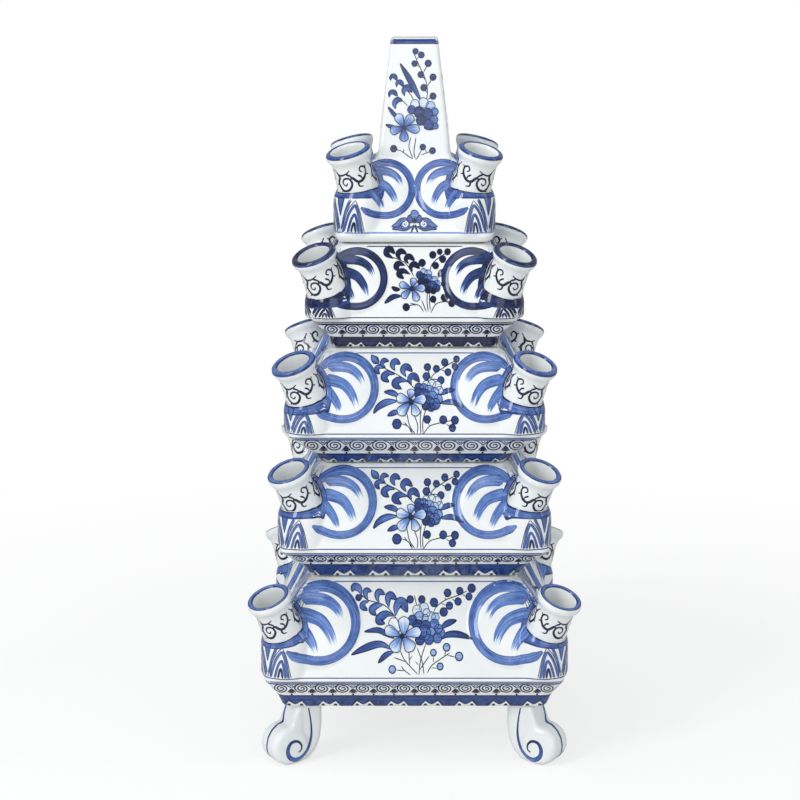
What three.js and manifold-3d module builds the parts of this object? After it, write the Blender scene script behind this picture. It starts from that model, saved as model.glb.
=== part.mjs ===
// A tall flower holder in glazed porcelain: five square tiers that stack, a flared spout on every corner of
// every tier, four scroll feet under the lowest tier and an obelisk on the highest.
// Millimetres, +Z up, the front is -Y, the origin is the middle of the footprint on the table.
import * as THREE from 'three';
import { mergeVertices, toCreasedNormals } from 'three/addons/utils/BufferGeometryUtils.js';
import Module from 'manifold-3d';

const wasm = await Module();
wasm.setup();

// Clay and joints
const WALL = 6;
const FOOT_WALL = 8.4;
const FLOOR = 6;
const LUTING_GAP = 0.3;
const SHADOW_GAP = 1.2;
const EDGE_ROUND = 1.5;

// The mouth of each tier and the ring under the next one that drops into it
const MOUTH_WALL = 6;
const GALLERY_DEPTH = 6;
const GALLERY_WIDTH = 5;
const GALLERY_THICKNESS = 4;
const RING_PLAY = 1.2;
const RING_WIDTH = 5;
const RING_RECESS = 2;

// Corner rounding, measured level
const FOOT_CORNER = 7;
const RIM_CORNER = 12;
const TOP_CORNER = 3;
const CORNER_STEPS = 3;
const DOME_STEPS = 2;

// Spouts, all thrown alike
const SPOUT_LENGTH = 35.5;
const SPOUT_NECK_HEIGHT = 21.5;
const SPOUT_FLARE_HEIGHT = 29.5;
const SPOUT_ROOT_RADIUS = 16.6;
const SPOUT_NECK_RADIUS = 15.2;
const SPOUT_LIP_RADIUS = 18.3;
const SPOUT_MOUTH_BORE = 13.2;
const SPOUT_ROOT_BORE = 12.2;
const SPOUT_FUNNEL_HEIGHT = 22;
const SPOUT_LIP_ROUND = 2.2;
const SPOUT_BORE_DEPTH = 25;
const SPOUT_FACETS = 14;
const SOCKET_RADIUS = SPOUT_ROOT_RADIUS + LUTING_GAP;
const SOCKET_WALL = 3;

// The knuckle of clay under each spout and the raised roundel beside it
const KNUCKLE_RADIUS = 21;
const KNUCKLE_DROP = 10;
const KNUCKLE_TUCK = 3;
const KNUCKLE_FACETS = 12;
const ROUNDEL_SINK = 1;
const ROUNDEL_FACETS = 14;
const MITRE_LAP = 0.2;

// Scroll feet. They splay outwards to the left and right, turned towards the corner by this many degrees.
const FOOT_SPLAY = 30;
const FOOT_HEIGHT = 49;
const LEG_WIDTH = 22;
const LEG_INSET = 37;
const LEG_CENTRE_INSET = 16.5;
const LEG_DEPTH = 23.2;
const LEG_TUCK = 1;
const LEG_BACK_LOW = 30;
const LEG_BACK_PULL = 14.5;
const LEG_SOLE_PULL = 7.2;
const LEG_NOTCH_HEIGHT = 36;
const TOE_ANGLE = 0.3;
const TOE_CUT = 1;
const SCROLL_RADIUS = 16.3;
const SCROLL_WIDTH = 26;
const SCROLL_OUT = 6.3;
const COIL_INWARDS = 4.5;
const COIL_DROP = 3.3;
const SCROLL_EYE_RADIUS = 3;
const SCROLL_GROOVE_WIDTH = 2.4;
const SCROLL_GROOVE_DEPTH = 2.6;
const SCROLL_GROOVE_TURNS = 1.1;
const SCROLL_GROOVE_START = 2.36;
const SCROLL_GROOVE_MARGIN = 8.3;
const SCROLL_GROOVE_TAPER = 0.5;
const SCROLL_GROOVE_STEPS = 10;
const SCROLL_NOTCH_ANGLE = 2.1;
const PAD_HALF_LENGTH = 7;
const LEG_BEVEL = 2.5;

// Obelisk on the highest tier
const OBELISK_BASE_HALF = 29.3;
const OBELISK_TOP_HALF = 18.8;
const OBELISK_HEIGHT = 92.8;
const OBELISK_WALL = 5.5;
const OBELISK_EDGE = 3;
const BASE_ROLL = 4.5;
const BASE_SHOULDER = 1.35;
const OBELISK_SHOULDER = 0.9;

// Glaze
const BODY_GLAZE = { color: 0xf0f2f1, roughness: 0.14 };
const SPOUT_GLAZE = { color: 0xeef1f0, roughness: 0.15 };
const FOOT_GLAZE = { color: 0xf1f3f2, roughness: 0.16 };

// The tiers from the lowest to the highest. Halves are half widths. The foot of each tier stands out from the
// top of the tier below by footOverhang, the waist from the foot by waistFlare and the rim from the waist by
// bevelFlare.
const LOWEST_FOOT_HALF = 106.1;
const TIERS = [
  {
    name: 'tier_1', footOverhang: 0, footHeight: 10.9, waistFlare: 4.5, bevelHeight: 13.5, bevelFlare: 9.4,
    lipHeight: 2.6, faceHeight: 74.1, topHalf: 82.1, spoutTilt: 26, spoutInset: 14.7, spoutRise: 35.4,
    knuckleProud: 3.2, roundelRadius: 35.1, roundelHeight: 8, roundelInset: 40.1, roundelRise: 40.2,
  },
  {
    name: 'tier_2', footOverhang: 1, footHeight: 12.5, waistFlare: 9.8, bevelHeight: 12.1, bevelFlare: 14.8,
    lipHeight: 2.8, faceHeight: 63.5, topHalf: 73.5, spoutTilt: 26, spoutInset: 18.5, spoutRise: 32.2,
    knuckleProud: 1.8, roundelRadius: 30.6, roundelHeight: 7, roundelInset: 45.8, roundelRise: 34.3,
  },
  {
    name: 'tier_3', footOverhang: 1, footHeight: 8.7, waistFlare: 7.2, bevelHeight: 16, bevelFlare: 18.8,
    lipHeight: 2.6, faceHeight: 63.9, topHalf: 67.4, spoutTilt: 26, spoutInset: 15.4, spoutRise: 26.5,
    knuckleProud: 3.5, roundelRadius: 30, roundelHeight: 7, roundelInset: 40.9, roundelRise: 34.1,
  },
  {
    name: 'tier_4', footOverhang: -0.7, footHeight: 8.6, waistFlare: 1.4, bevelHeight: 13.1, bevelFlare: 12.7,
    lipHeight: 3.2, faceHeight: 56.9, topHalf: 59.1, spoutTilt: 26, spoutInset: 11.7, spoutRise: 20.7,
    knuckleProud: 6.5, roundelRadius: 27.2, roundelHeight: 6, roundelInset: 31.2, roundelRise: 29.5,
  },
  {
    name: 'tier_5', footOverhang: 4, footHeight: 6.6, waistFlare: 0, bevelHeight: 0, bevelFlare: 0,
    lipHeight: 0, faceHeight: 60.1, topHalf: OBELISK_BASE_HALF, highest: true,
    spoutTilt: 20, spoutInset: 18.5, spoutRise: 33.6,
    knuckleProud: 1.7, roundelRadius: 25.9, roundelHeight: 5.5, roundelInset: 36.8, roundelRise: 33.7,
  },
];

const CORNERS = ['back_right', 'back_left', 'front_left', 'front_right'];

// Every size of a tier in its own frame, with z = 0 under its foot band and `below` the tier that carries it.
function measured(tier, below) {
  const footHalf = (below ? below.topHalf : LOWEST_FOOT_HALF) + tier.footOverhang;
  const waistHalf = footHalf + tier.waistFlare;
  const rimHalf = waistHalf + tier.bevelFlare;
  const waistZ = tier.footHeight;
  const lipLowZ = waistZ + tier.bevelHeight;
  const lipHighZ = lipLowZ + tier.lipHeight;
  const topZ = lipHighZ + tier.faceHeight;
  const mouthHalf = tier.topHalf - MOUTH_WALL;
  const ringHalf = below ? below.topHalf - MOUTH_WALL - RING_PLAY : 0;
  const tilt = THREE.MathUtils.degToRad(tier.spoutTilt);
  const lean = Math.sin(tilt) * Math.SQRT1_2;
  const axis = new THREE.Vector3(lean, lean, Math.cos(tilt));
  const seamHalf = rimHalf - tier.spoutInset;
  const seam = new THREE.Vector3(seamHalf, seamHalf, lipHighZ + tier.spoutRise);
  const slope = (rimHalf - tier.topHalf) / tier.faceHeight;
  return {
    ...tier, footHalf, waistHalf, rimHalf, mouthHalf, ringHalf,
    waistZ, lipLowZ, lipHighZ, topZ, axis, seam, slope,
  };
}

// A closed three.js geometry as a solid: equal vertices are merged, faces that shrank to a line are dropped.
function solidOf(geometry) {
  const bare = geometry.clone();
  bare.deleteAttribute('normal');
  bare.deleteAttribute('uv');
  const merged = mergeVertices(bare, 1e-4);
  const index = merged.index.array;
  const triVerts = [];
  for (let i = 0; i < index.length; i += 3) {
    const [a, b, c] = [index[i], index[i + 1], index[i + 2]];
    if (a !== b && b !== c && c !== a) triVerts.push(a, b, c);
  }
  return new wasm.Manifold(new wasm.Mesh({
    numProp: 3,
    vertProperties: merged.attributes.position.array,
    triVerts: new Uint32Array(triVerts),
  }));
}

function geometryOf(solid) {
  const mesh = solid.getMesh();
  const positions = new Float32Array(mesh.numVert * 3);
  for (let i = 0; i < mesh.numVert; i++) {
    positions.set(mesh.vertProperties.subarray(i * mesh.numProp, i * mesh.numProp + 3), i * 3);
  }
  const geometry = new THREE.BufferGeometry();
  geometry.setAttribute('position', new THREE.BufferAttribute(positions, 3));
  geometry.setIndex(new THREE.BufferAttribute(mesh.triVerts, 1));
  return toCreasedNormals(geometry, Math.PI / 6);
}

const joined = (solids) => solids.reduce((whole, piece) => whole.add(piece));

// The outline of a square with rounded corners, anticlockwise from above.
function roundedSquare(half, corner) {
  const points = [];
  const middle = new THREE.Vector2();
  for (let side = 0; side < 4; side++) {
    const centre = new THREE.Vector2(half - corner, half - corner).rotateAround(middle, side * Math.PI / 2);
    for (let step = 0; step <= CORNER_STEPS; step++) {
      const turn = (side + step / CORNER_STEPS) * Math.PI / 2;
      points.push([centre.x + corner * Math.cos(turn), centre.y + corner * Math.sin(turn)]);
    }
  }
  return points;
}

// A square counterpart of a lathe: the profile's rings {half, corner, z} run from the middle of the underside
// outwards, up the outside, over the top and down the inside to the middle again.
function squareLathe(profile) {
  const positions = [];
  const index = [];
  const count = 4 * (CORNER_STEPS + 1);
  for (const { half, corner, z } of profile) {
    for (const [x, y] of roundedSquare(half, Math.min(corner, half))) positions.push(x, y, z);
  }
  for (let ring = 0; ring + 1 < profile.length; ring++) {
    for (let i = 0; i < count; i++) {
      const a = ring * count + i;
      const b = ring * count + (i + 1) % count;
      index.push(a, b, b + count, a, b + count, a + count);
    }
  }
  const last = (profile.length - 1) * count;
  positions.push(0, 0, profile[0].z, 0, 0, profile[profile.length - 1].z);
  const lowMiddle = profile.length * count;
  for (let i = 0; i < count; i++) {
    const next = (i + 1) % count;
    index.push(lowMiddle, next, i);
    index.push(lowMiddle + 1, last + i, last + next);
  }
  const geometry = new THREE.BufferGeometry();
  geometry.setAttribute('position', new THREE.Float32BufferAttribute(positions, 3));
  geometry.setIndex(index);
  return solidOf(geometry);
}

// A lathe about +Z from points [radius, z] that run upwards on the outside.
function turned(points, facets) {
  const profile = points.map(([radius, z]) => new THREE.Vector2(radius, z));
  return new THREE.LatheGeometry(profile, facets).rotateX(Math.PI / 2);
}

function arcPoints(centreRadius, centreZ, radius, from, to, steps) {
  const points = [];
  for (let i = 0; i <= steps; i++) {
    const angle = from + (to - from) * i / steps;
    points.push([centreRadius + radius * Math.cos(angle), centreZ + radius * Math.sin(angle)]);
  }
  return points;
}

// Outside of a tier's walls, as rings from the foot band to the top edge.
function outerRings(t) {
  return [
    { half: t.footHalf, corner: FOOT_CORNER, z: 0 },
    { half: t.waistHalf, corner: FOOT_CORNER, z: t.waistZ },
    { half: t.rimHalf, corner: RIM_CORNER, z: t.lipLowZ },
    { half: t.rimHalf, corner: RIM_CORNER, z: t.lipHighZ },
    { half: t.topHalf + t.slope * EDGE_ROUND, corner: TOP_CORNER, z: t.topZ - EDGE_ROUND },
    { half: t.topHalf - EDGE_ROUND / 2, corner: TOP_CORNER, z: t.topZ },
  ];
}

// The highest tier stands on a plain rounded roll, and its faces run into the obelisk without a joint.
function outerRingsOfHighest(t) {
  const obeliskTopZ = t.topZ + OBELISK_HEIGHT;
  const taper = (OBELISK_BASE_HALF - OBELISK_TOP_HALF) / OBELISK_HEIGHT;
  const rollCorner = FOOT_CORNER + BASE_SHOULDER;
  return [
    { half: t.footHalf - BASE_ROLL, corner: FOOT_CORNER, z: 0 },
    { half: t.footHalf - BASE_SHOULDER, corner: rollCorner, z: BASE_SHOULDER },
    { half: t.footHalf, corner: rollCorner, z: BASE_ROLL },
    { half: t.footHalf, corner: rollCorner, z: t.lipHighZ },
    { half: OBELISK_BASE_HALF, corner: TOP_CORNER, z: t.topZ },
    { half: OBELISK_TOP_HALF + taper * OBELISK_EDGE, corner: TOP_CORNER, z: obeliskTopZ - OBELISK_EDGE },
    { half: OBELISK_TOP_HALF - OBELISK_SHOULDER, corner: TOP_CORNER, z: obeliskTopZ - OBELISK_SHOULDER },
    { half: OBELISK_TOP_HALF - OBELISK_EDGE, corner: TOP_CORNER, z: obeliskTopZ },
  ];
}

// The locating ring under a tier, from the middle of the underside out to the foot band.
function undersideRings(t) {
  if (!t.ringHalf) {
    const recessHalf = t.footHalf - LEG_INSET;
    return [
      { half: recessHalf, corner: RIM_CORNER, z: RING_RECESS },
      { half: recessHalf, corner: RIM_CORNER, z: 0 },
    ];
  }
  const depth = SHADOW_GAP + GALLERY_DEPTH - LUTING_GAP;
  return [
    { half: t.ringHalf - RING_WIDTH, corner: TOP_CORNER, z: RING_RECESS },
    { half: t.ringHalf - RING_WIDTH, corner: TOP_CORNER, z: -depth },
    { half: t.ringHalf, corner: TOP_CORNER + 1, z: -depth },
    { half: t.ringHalf, corner: TOP_CORNER + 1, z: 0 },
  ];
}

// How round the hollow's corners are, so that clay is left behind the inner edge of each spout's socket.
// `innerAt` gives the hollow's half width at a height.
function hollowCorner(t, innerAt) {
  const tilt = THREE.MathUtils.degToRad(t.spoutTilt);
  const edgeOut = t.seam.x * Math.SQRT2 - SOCKET_RADIUS * Math.cos(tilt);
  const edgeZ = t.seam.z + SOCKET_RADIUS * Math.sin(tilt);
  const beyond = innerAt(edgeZ) * Math.SQRT2 - (edgeOut - SOCKET_WALL);
  return Math.max(FOOT_CORNER, beyond / (Math.SQRT2 - 1));
}

// The hollow of a tier from the floor up to the gallery, and the mouth over it.
function hollowOf(t) {
  const galleryZ = t.topZ - GALLERY_DEPTH;
  const underZ = galleryZ - GALLERY_THICKNESS;
  const innerAt = (z) => t.topHalf + (t.topZ - z) * t.slope - WALL * Math.hypot(1, t.slope);
  const corner = hollowCorner(t, innerAt);
  return squareLathe([
    { half: t.footHalf - FOOT_WALL, corner, z: FLOOR + RING_RECESS },
    { half: t.waistHalf - FOOT_WALL, corner, z: t.waistZ + FLOOR / 2 },
    { half: innerAt(t.lipHighZ), corner, z: t.lipHighZ },
    { half: innerAt(underZ), corner, z: underZ },
    { half: t.mouthHalf - GALLERY_WIDTH, corner: TOP_CORNER, z: underZ },
    { half: t.mouthHalf - GALLERY_WIDTH, corner: TOP_CORNER, z: galleryZ },
    { half: t.mouthHalf, corner: TOP_CORNER, z: galleryZ },
    { half: t.mouthHalf, corner: TOP_CORNER, z: t.topZ + EDGE_ROUND },
  ]);
}

function hollowOfHighest(t) {
  const floorZ = FLOOR + RING_RECESS;
  const ceilingZ = t.topZ + OBELISK_HEIGHT - OBELISK_WALL;
  const floorHalf = t.footHalf - FOOT_WALL;
  const neckHalf = OBELISK_BASE_HALF - OBELISK_WALL;
  const innerAt = (z) => floorHalf + (neckHalf - floorHalf) * (z - floorZ) / (t.topZ - floorZ);
  const corner = hollowCorner(t, innerAt);
  return squareLathe([
    { half: floorHalf, corner, z: floorZ },
    { half: neckHalf, corner, z: t.topZ },
    { half: OBELISK_TOP_HALF - OBELISK_WALL, corner, z: ceilingZ },
  ]);
}

// A clay knuckle stands on the rim under each spout: upright, tucked in at its foot, round at its top.
function knuckle(t) {
  const out = t.rimHalf + t.knuckleProud - KNUCKLE_RADIUS;
  const centreZ = t.seam.z - KNUCKLE_DROP;
  const points = [
    [0, t.lipHighZ],
    [KNUCKLE_RADIUS - KNUCKLE_TUCK, t.lipHighZ],
    [KNUCKLE_RADIUS - KNUCKLE_TUCK / 4, t.lipHighZ + KNUCKLE_TUCK],
    ...arcPoints(0, centreZ, KNUCKLE_RADIUS, 0, Math.PI / 2, DOME_STEPS),
  ];
  points[points.length - 1][0] = 0;
  return solidOf(turned(points, KNUCKLE_FACETS)).translate([out, out, 0]);
}

// A low domed roundel on the face towards +X, mitred along the hip where it meets the roundel of the next
// face. Its dome runs on a little under the face.
function roundel(t) {
  const { roundelRadius: radius, roundelHeight: height } = t;
  const sphere = (radius * radius + height * height) / (2 * height);
  const edge = Math.acos((sphere - height - ROUNDEL_SINK) / sphere);
  const points = [
    [0, -2 * ROUNDEL_SINK],
    ...arcPoints(0, height - sphere, sphere, Math.PI / 2 - edge, Math.PI / 2, DOME_STEPS),
  ];
  points[points.length - 1][0] = 0;
  const lean = Math.atan(t.slope);
  const z = t.lipHighZ + t.roundelRise;
  const out = t.rimHalf - t.roundelRise * t.slope;
  const across = t.rimHalf - t.roundelInset;
  const dome = turned(points, ROUNDEL_FACETS).rotateY(Math.PI / 2 - lean).translate(out, across, z);
  const reach = 4 * radius;
  const mitre = new THREE.BoxGeometry(reach, reach, reach);
  mitre.translate(0, MITRE_LAP - reach / 2, 0).rotateZ(Math.PI / 4).translate(out, out, z);
  return solidOf(dome).intersect(solidOf(mitre));
}

// The knuckle and the two roundels of the corner towards +X +Y.
function cornerClay(t) {
  const side = roundel(t);
  return joined([knuckle(t), side, side.mirror([1, -1, 0])]);
}

// Stands a piece that was turned about +Z on a tier's corner, leaned as its spout leans.
function leaned(geometry, t) {
  geometry.applyQuaternion(new THREE.Quaternion().setFromUnitVectors(new THREE.Vector3(0, 0, 1), t.axis));
  return solidOf(geometry.translate(t.seam.x, t.seam.y, t.seam.z));
}

// What is cut out for each spout: a socket down to a flat seat, and the bore from there into the hollow.
function socketOf(t) {
  return leaned(turned([
    [0, -SPOUT_BORE_DEPTH],
    [SPOUT_ROOT_BORE, -SPOUT_BORE_DEPTH],
    [SPOUT_ROOT_BORE, -LUTING_GAP],
    [SOCKET_RADIUS, -LUTING_GAP],
    [SOCKET_RADIUS, SPOUT_LENGTH],
    [0, SPOUT_LENGTH],
  ], SPOUT_FACETS), t);
}

function tierBody(t) {
  const rings = t.highest ? outerRingsOfHighest(t) : outerRings(t);
  const hollow = t.highest ? hollowOfHighest(t) : hollowOf(t);
  const clay = cornerClay(t);
  const socket = socketOf(t);
  const clays = CORNERS.map((_, k) => clay.rotate([0, 0, 90 * k]));
  const sockets = CORNERS.map((_, k) => socket.rotate([0, 0, 90 * k]));
  const block = joined([squareLathe([...undersideRings(t), ...rings]), ...clays]);
  return block.subtract(joined([hollow, ...sockets]));
}

// A thrown spout with a flat root, leaned out along the diagonal.
function spout(t) {
  return leaned(turned([
    [SPOUT_ROOT_BORE, 0],
    [SPOUT_ROOT_RADIUS, 0],
    [SPOUT_NECK_RADIUS, SPOUT_NECK_HEIGHT],
    [SPOUT_LIP_RADIUS, SPOUT_FLARE_HEIGHT],
    [SPOUT_LIP_RADIUS, SPOUT_LENGTH - SPOUT_LIP_ROUND],
    [SPOUT_LIP_RADIUS - SPOUT_LIP_ROUND, SPOUT_LENGTH],
    [SPOUT_MOUTH_BORE, SPOUT_LENGTH],
    [SPOUT_ROOT_BORE, SPOUT_FUNNEL_HEIGHT],
    [SPOUT_ROOT_BORE, 0],
  ], SPOUT_FACETS), t);
}

// The side view of a foot: x runs outwards from the leg's inner face, y is up. It runs on above the foot's
// height, where it is cut level.
function footOutline(eye) {
  const topY = FOOT_HEIGHT + 2 * LEG_BEVEL;
  const shape = new THREE.Shape();
  shape.moveTo(0, topY);
  shape.lineTo(0, LEG_BACK_LOW);
  shape.bezierCurveTo(0, LEG_BACK_PULL, LEG_SOLE_PULL, 0, eye.x - PAD_HALF_LENGTH, 0);
  shape.lineTo(eye.x + SCROLL_RADIUS * Math.sin(TOE_ANGLE) - TOE_CUT, 0);
  shape.absarc(eye.x, eye.y, SCROLL_RADIUS, TOE_ANGLE - Math.PI / 2, SCROLL_NOTCH_ANGLE, false);
  shape.lineTo(LEG_DEPTH - LEG_TUCK, LEG_NOTCH_HEIGHT);
  shape.lineTo(LEG_DEPTH, topY);
  return shape;
}

// A slab of an outline in the foot's side view, centred on the foot's own plane, with its edges bevelled.
function slab(shape, width, bevel, curveSegments) {
  return new THREE.ExtrudeGeometry(shape, {
    depth: width - 2 * bevel,
    bevelEnabled: bevel > 0,
    bevelThickness: bevel,
    bevelSize: bevel,
    bevelOffset: -bevel,
    bevelSegments: 1,
    curveSegments,
  }).translate(0, 0, bevel - width / 2);
}

// The groove that winds in to the middle of the coil.
function grooveOutline(coil) {
  const steps = SCROLL_GROOVE_STEPS;
  const outer = SCROLL_RADIUS - SCROLL_GROOVE_MARGIN;
  const points = [];
  const radiusAt = (share) => outer + (SCROLL_EYE_RADIUS - outer) * share;
  const at = (share, offset) => {
    const angle = SCROLL_GROOVE_START + share * SCROLL_GROOVE_TURNS * 2 * Math.PI;
    const radius = radiusAt(share) + offset * (1 - share * SCROLL_GROOVE_TAPER);
    return new THREE.Vector2(coil.x + radius * Math.cos(angle), coil.y + radius * Math.sin(angle));
  };
  for (let i = 0; i <= steps; i++) points.push(at(i / steps, SCROLL_GROOVE_WIDTH / 2));
  for (let i = steps; i >= 0; i--) points.push(at(i / steps, -SCROLL_GROOVE_WIDTH / 2));
  return new THREE.Shape(points);
}

function scrollFoot(lowest) {
  const eye = new THREE.Vector2(LEG_DEPTH + SCROLL_OUT, SCROLL_RADIUS);
  const coil = new THREE.Vector2(eye.x - COIL_INWARDS, eye.y - COIL_DROP);
  const disc = new THREE.Shape();
  disc.absarc(eye.x, eye.y, SCROLL_RADIUS - LUTING_GAP, 0, Math.PI * 2, false);
  const above = new THREE.BoxGeometry(4 * LEG_DEPTH, FOOT_HEIGHT, 2 * SCROLL_WIDTH);
  above.translate(0, FOOT_HEIGHT * 1.5, 0);
  const leg = solidOf(slab(footOutline(eye), LEG_WIDTH, LEG_BEVEL, 4)).subtract(solidOf(above));
  const scroll = solidOf(slab(disc, SCROLL_WIDTH, LEG_BEVEL, 8));
  const groove = solidOf(slab(grooveOutline(coil), SCROLL_GROOVE_DEPTH * 2, 0, 1));
  const cuts = [-1, 1].map((side) => groove.translate([0, 0, side * SCROLL_WIDTH / 2]));
  const out = lowest.footHalf - LEG_CENTRE_INSET;
  const foot = leg.add(scroll).subtract(joined(cuts)).translate([-LEG_DEPTH / 2, 0, 0]);
  return foot.rotate([90, 0, 0]).rotate([0, 0, FOOT_SPLAY]).translate([out, out, 0]);
}

// The back right corner's piece as its mirror image at another corner.
function mirroredTo(corner, solid) {
  const sideways = corner.endsWith('left') ? solid.mirror([1, 0, 0]) : solid;
  return corner.startsWith('front') ? sideways.mirror([0, 1, 0]) : sideways;
}

function named(name, solid, glaze, quarterTurns, z) {
  const mesh = new THREE.Mesh(geometryOf(solid), new THREE.MeshStandardMaterial(glaze));
  mesh.name = name;
  mesh.rotation.z = quarterTurns * Math.PI / 2;
  mesh.position.z = z;
  return mesh;
}

function buildTower() {
  const tower = new THREE.Group();
  let z = FOOT_HEIGHT + LUTING_GAP;
  let below = null;
  for (const tier of TIERS) {
    const t = measured(tier, below);
    if (!below) {
      const foot = scrollFoot(t);
      CORNERS.forEach((corner) => {
        tower.add(named('foot_' + corner, mirroredTo(corner, foot), FOOT_GLAZE, 0, 0));
      });
    }
    tower.add(named(t.name + '_body', tierBody(t), BODY_GLAZE, 0, z));
    const thrown = spout(t);
    CORNERS.forEach((corner, k) => {
      tower.add(named(t.name + '_spout_' + corner, thrown, SPOUT_GLAZE, k, z));
    });
    z += t.topZ + SHADOW_GAP;
    below = t;
  }
  return tower;
}

export default buildTower();
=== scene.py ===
import contextlib
import functools
import math
import random

import bpy
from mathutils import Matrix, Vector
from mathutils.bvhtree import BVHTree


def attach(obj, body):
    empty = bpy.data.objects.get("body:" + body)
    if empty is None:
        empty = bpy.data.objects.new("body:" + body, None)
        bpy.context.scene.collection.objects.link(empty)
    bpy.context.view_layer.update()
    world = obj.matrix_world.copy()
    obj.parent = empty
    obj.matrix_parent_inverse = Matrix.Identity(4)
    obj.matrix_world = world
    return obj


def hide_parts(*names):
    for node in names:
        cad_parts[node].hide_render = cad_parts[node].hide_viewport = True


# A tiered flower holder in blue and white porcelain: glazed tiers, luted spouts, scroll feet and brushwork
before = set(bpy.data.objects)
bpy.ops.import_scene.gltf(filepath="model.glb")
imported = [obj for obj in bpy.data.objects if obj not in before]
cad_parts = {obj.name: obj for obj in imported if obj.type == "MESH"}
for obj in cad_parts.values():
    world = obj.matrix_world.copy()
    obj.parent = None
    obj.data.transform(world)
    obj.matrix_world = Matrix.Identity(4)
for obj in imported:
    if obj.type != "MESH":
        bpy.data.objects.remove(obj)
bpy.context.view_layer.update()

MM = 0.001
QUARTER = math.pi / 2
CORNERS = ["back_right", "back_left", "front_left", "front_right"]

# Sizes of the tiers in millimetres, heights from the table. Foot, waist, rim, top and ring are half widths.
# Seam: how far out along both sides a spout's root lies, and its height. Proud: how far a knuckle stands out.
# Roundel: place across the face, height, radius and swell.
TIERS = [
    dict(name="tier_1", base=49.3, foot=106.1, waist=110.6, waist_z=60.2, rim=120.0, lip_z=73.7, lip_top=76.3,
         top=82.1, top_z=150.4, seam=(105.3, 111.7), tilt=26, proud=3.2, roundel=(79.9, 116.5, 35.1, 8.0),
         ring=0),
    dict(name="tier_2", base=151.6, foot=83.1, waist=92.9, waist_z=164.1, rim=107.7, lip_z=176.2, lip_top=179,
         top=73.5, top_z=242.5, seam=(89.2, 211.2), tilt=26, proud=1.8, roundel=(61.9, 213.5, 30.6, 7.0),
         ring=74.9),
    dict(name="tier_3", base=243.7, foot=74.5, waist=81.7, waist_z=252.4, rim=100.5, lip_z=268.4, lip_top=271,
         top=67.4, top_z=334.9, seam=(85.1, 297.5), tilt=26, proud=3.5, roundel=(59.6, 305.4, 30.0, 7.0),
         ring=66.3),
    dict(name="tier_4", base=336.1, foot=66.7, waist=68.1, waist_z=344.7, rim=80.8, lip_z=357.8, lip_top=361,
         top=59.1, top_z=417.9, seam=(69.1, 381.7), tilt=26, proud=6.5, roundel=(49.6, 390.8, 27.2, 6.0),
         ring=60.2),
    dict(name="tier_5", base=419.1, foot=63.1, waist=63.1, waist_z=423.6, rim=63.1, lip_z=425.7,
         lip_top=425.7, top=29.3, top_z=485.8, seam=(44.6, 459.3), tilt=20, proud=1.7,
         roundel=(26.3, 459.4, 25.9, 5.5), ring=51.9),
]
OBELISK_TOP = (18.8, 578.6)
WALL = 6
FOOT_WALL = 8.4
OBELISK_WALL = 5.5
FLOOR_TOP = 8
RING_WIDTH = 5
MOUTH_DEPTH = 10
BLOCK_CORNER = 7
RING_CORNER = 4
RECESS_INSET = 37
RECESS_CORNER = 12

KNUCKLE_RADIUS = 21.0
KNUCKLE_DROP = 10.0
FOOT_SPLAY = math.radians(30)
FOOT_MIDDLE = 89.6
LEG_DEPTH = 23.2
SCROLL_RADIUS = 16.3
SCROLL_EYE_OUT = 29.5
NECK_SIZE = (0.0102, 0.0235, 0.0205)

# A spout's outline from the root of its bore out, up, over the lip and down inside: radius and height
SPOUT_OUTLINE = [
    (12.2, 0), (16.6, 0), (16.6, 0.6), (16.3, 5), (15.8, 11), (15.3, 17), (15.2, 22), (15.6, 25.5),
    (16.9, 28), (18.0, 29.8), (18.35, 31.8), (18.0, 33.8), (17.0, 35.1), (15.7, 35.5), (14.4, 35.1),
    (13.5, 34), (13.1, 32), (12.8, 27), (12.4, 18), (12.25, 9),
]
SPOUT_ROOT = 16.6
SPOUT_BORE = 12.2
SPOUT_GIRTH = 16.0
SOCKET_RADIUS = 16.9
SEAM_GAP = 0.06

# Grain of the clay skins, in millimetres
SKIN = 1.5
SKIN_FINE = 1.2


# Bench tools
def put_down():
    """Leaves edit mode and selects nothing."""
    if bpy.context.object and bpy.context.object.mode == "EDIT":
        bpy.ops.object.mode_set(mode="OBJECT")
    bpy.ops.object.select_all(action="DESELECT")


def take(piece):
    """Makes one piece the only one selected."""
    put_down()
    piece.select_set(True)
    bpy.context.view_layer.objects.active = piece


@contextlib.contextmanager
def shaping(piece, selection="SELECT"):
    """Opens a piece in edit mode with all or nothing of it selected, and closes it afterwards."""
    take(piece)
    bpy.ops.object.mode_set(mode="EDIT")
    bpy.ops.mesh.select_all(action=selection)
    yield
    bpy.ops.object.mode_set(mode="OBJECT")


def blank(name):
    """Names the primitive that was just added."""
    piece = bpy.context.object
    piece.name = name
    piece.data.name = name
    return piece


def finish_with(piece, kind, **settings):
    """Adds a modifier and applies it."""
    take(piece)
    modifier = piece.modifiers.new(kind.title(), kind)
    for key, value in settings.items():
        setattr(modifier, key, value)
    bpy.ops.object.modifier_apply(modifier=modifier.name)


def lump(pieces, name):
    """Joins pieces into the first of them."""
    take(pieces[0])
    for piece in pieces[1:]:
        piece.select_set(True)
    bpy.ops.object.join()
    return blank(name)


def twin(piece, name):
    """A copy with its own mesh."""
    copy = piece.copy()
    copy.data = piece.data.copy()
    copy.name = name
    copy.data.name = name
    bpy.context.scene.collection.objects.link(copy)
    return copy


def settle(piece):
    """Puts the object's turn, size and place into its mesh."""
    take(piece)
    bpy.ops.object.transform_apply(location=True, rotation=True, scale=True)


def quarter_turned(piece, name, turns):
    """A copy turned about the tower's middle."""
    copy = twin(piece, name)
    copy.rotation_euler = (0, 0, turns * QUARTER)
    settle(copy)
    return copy


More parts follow.
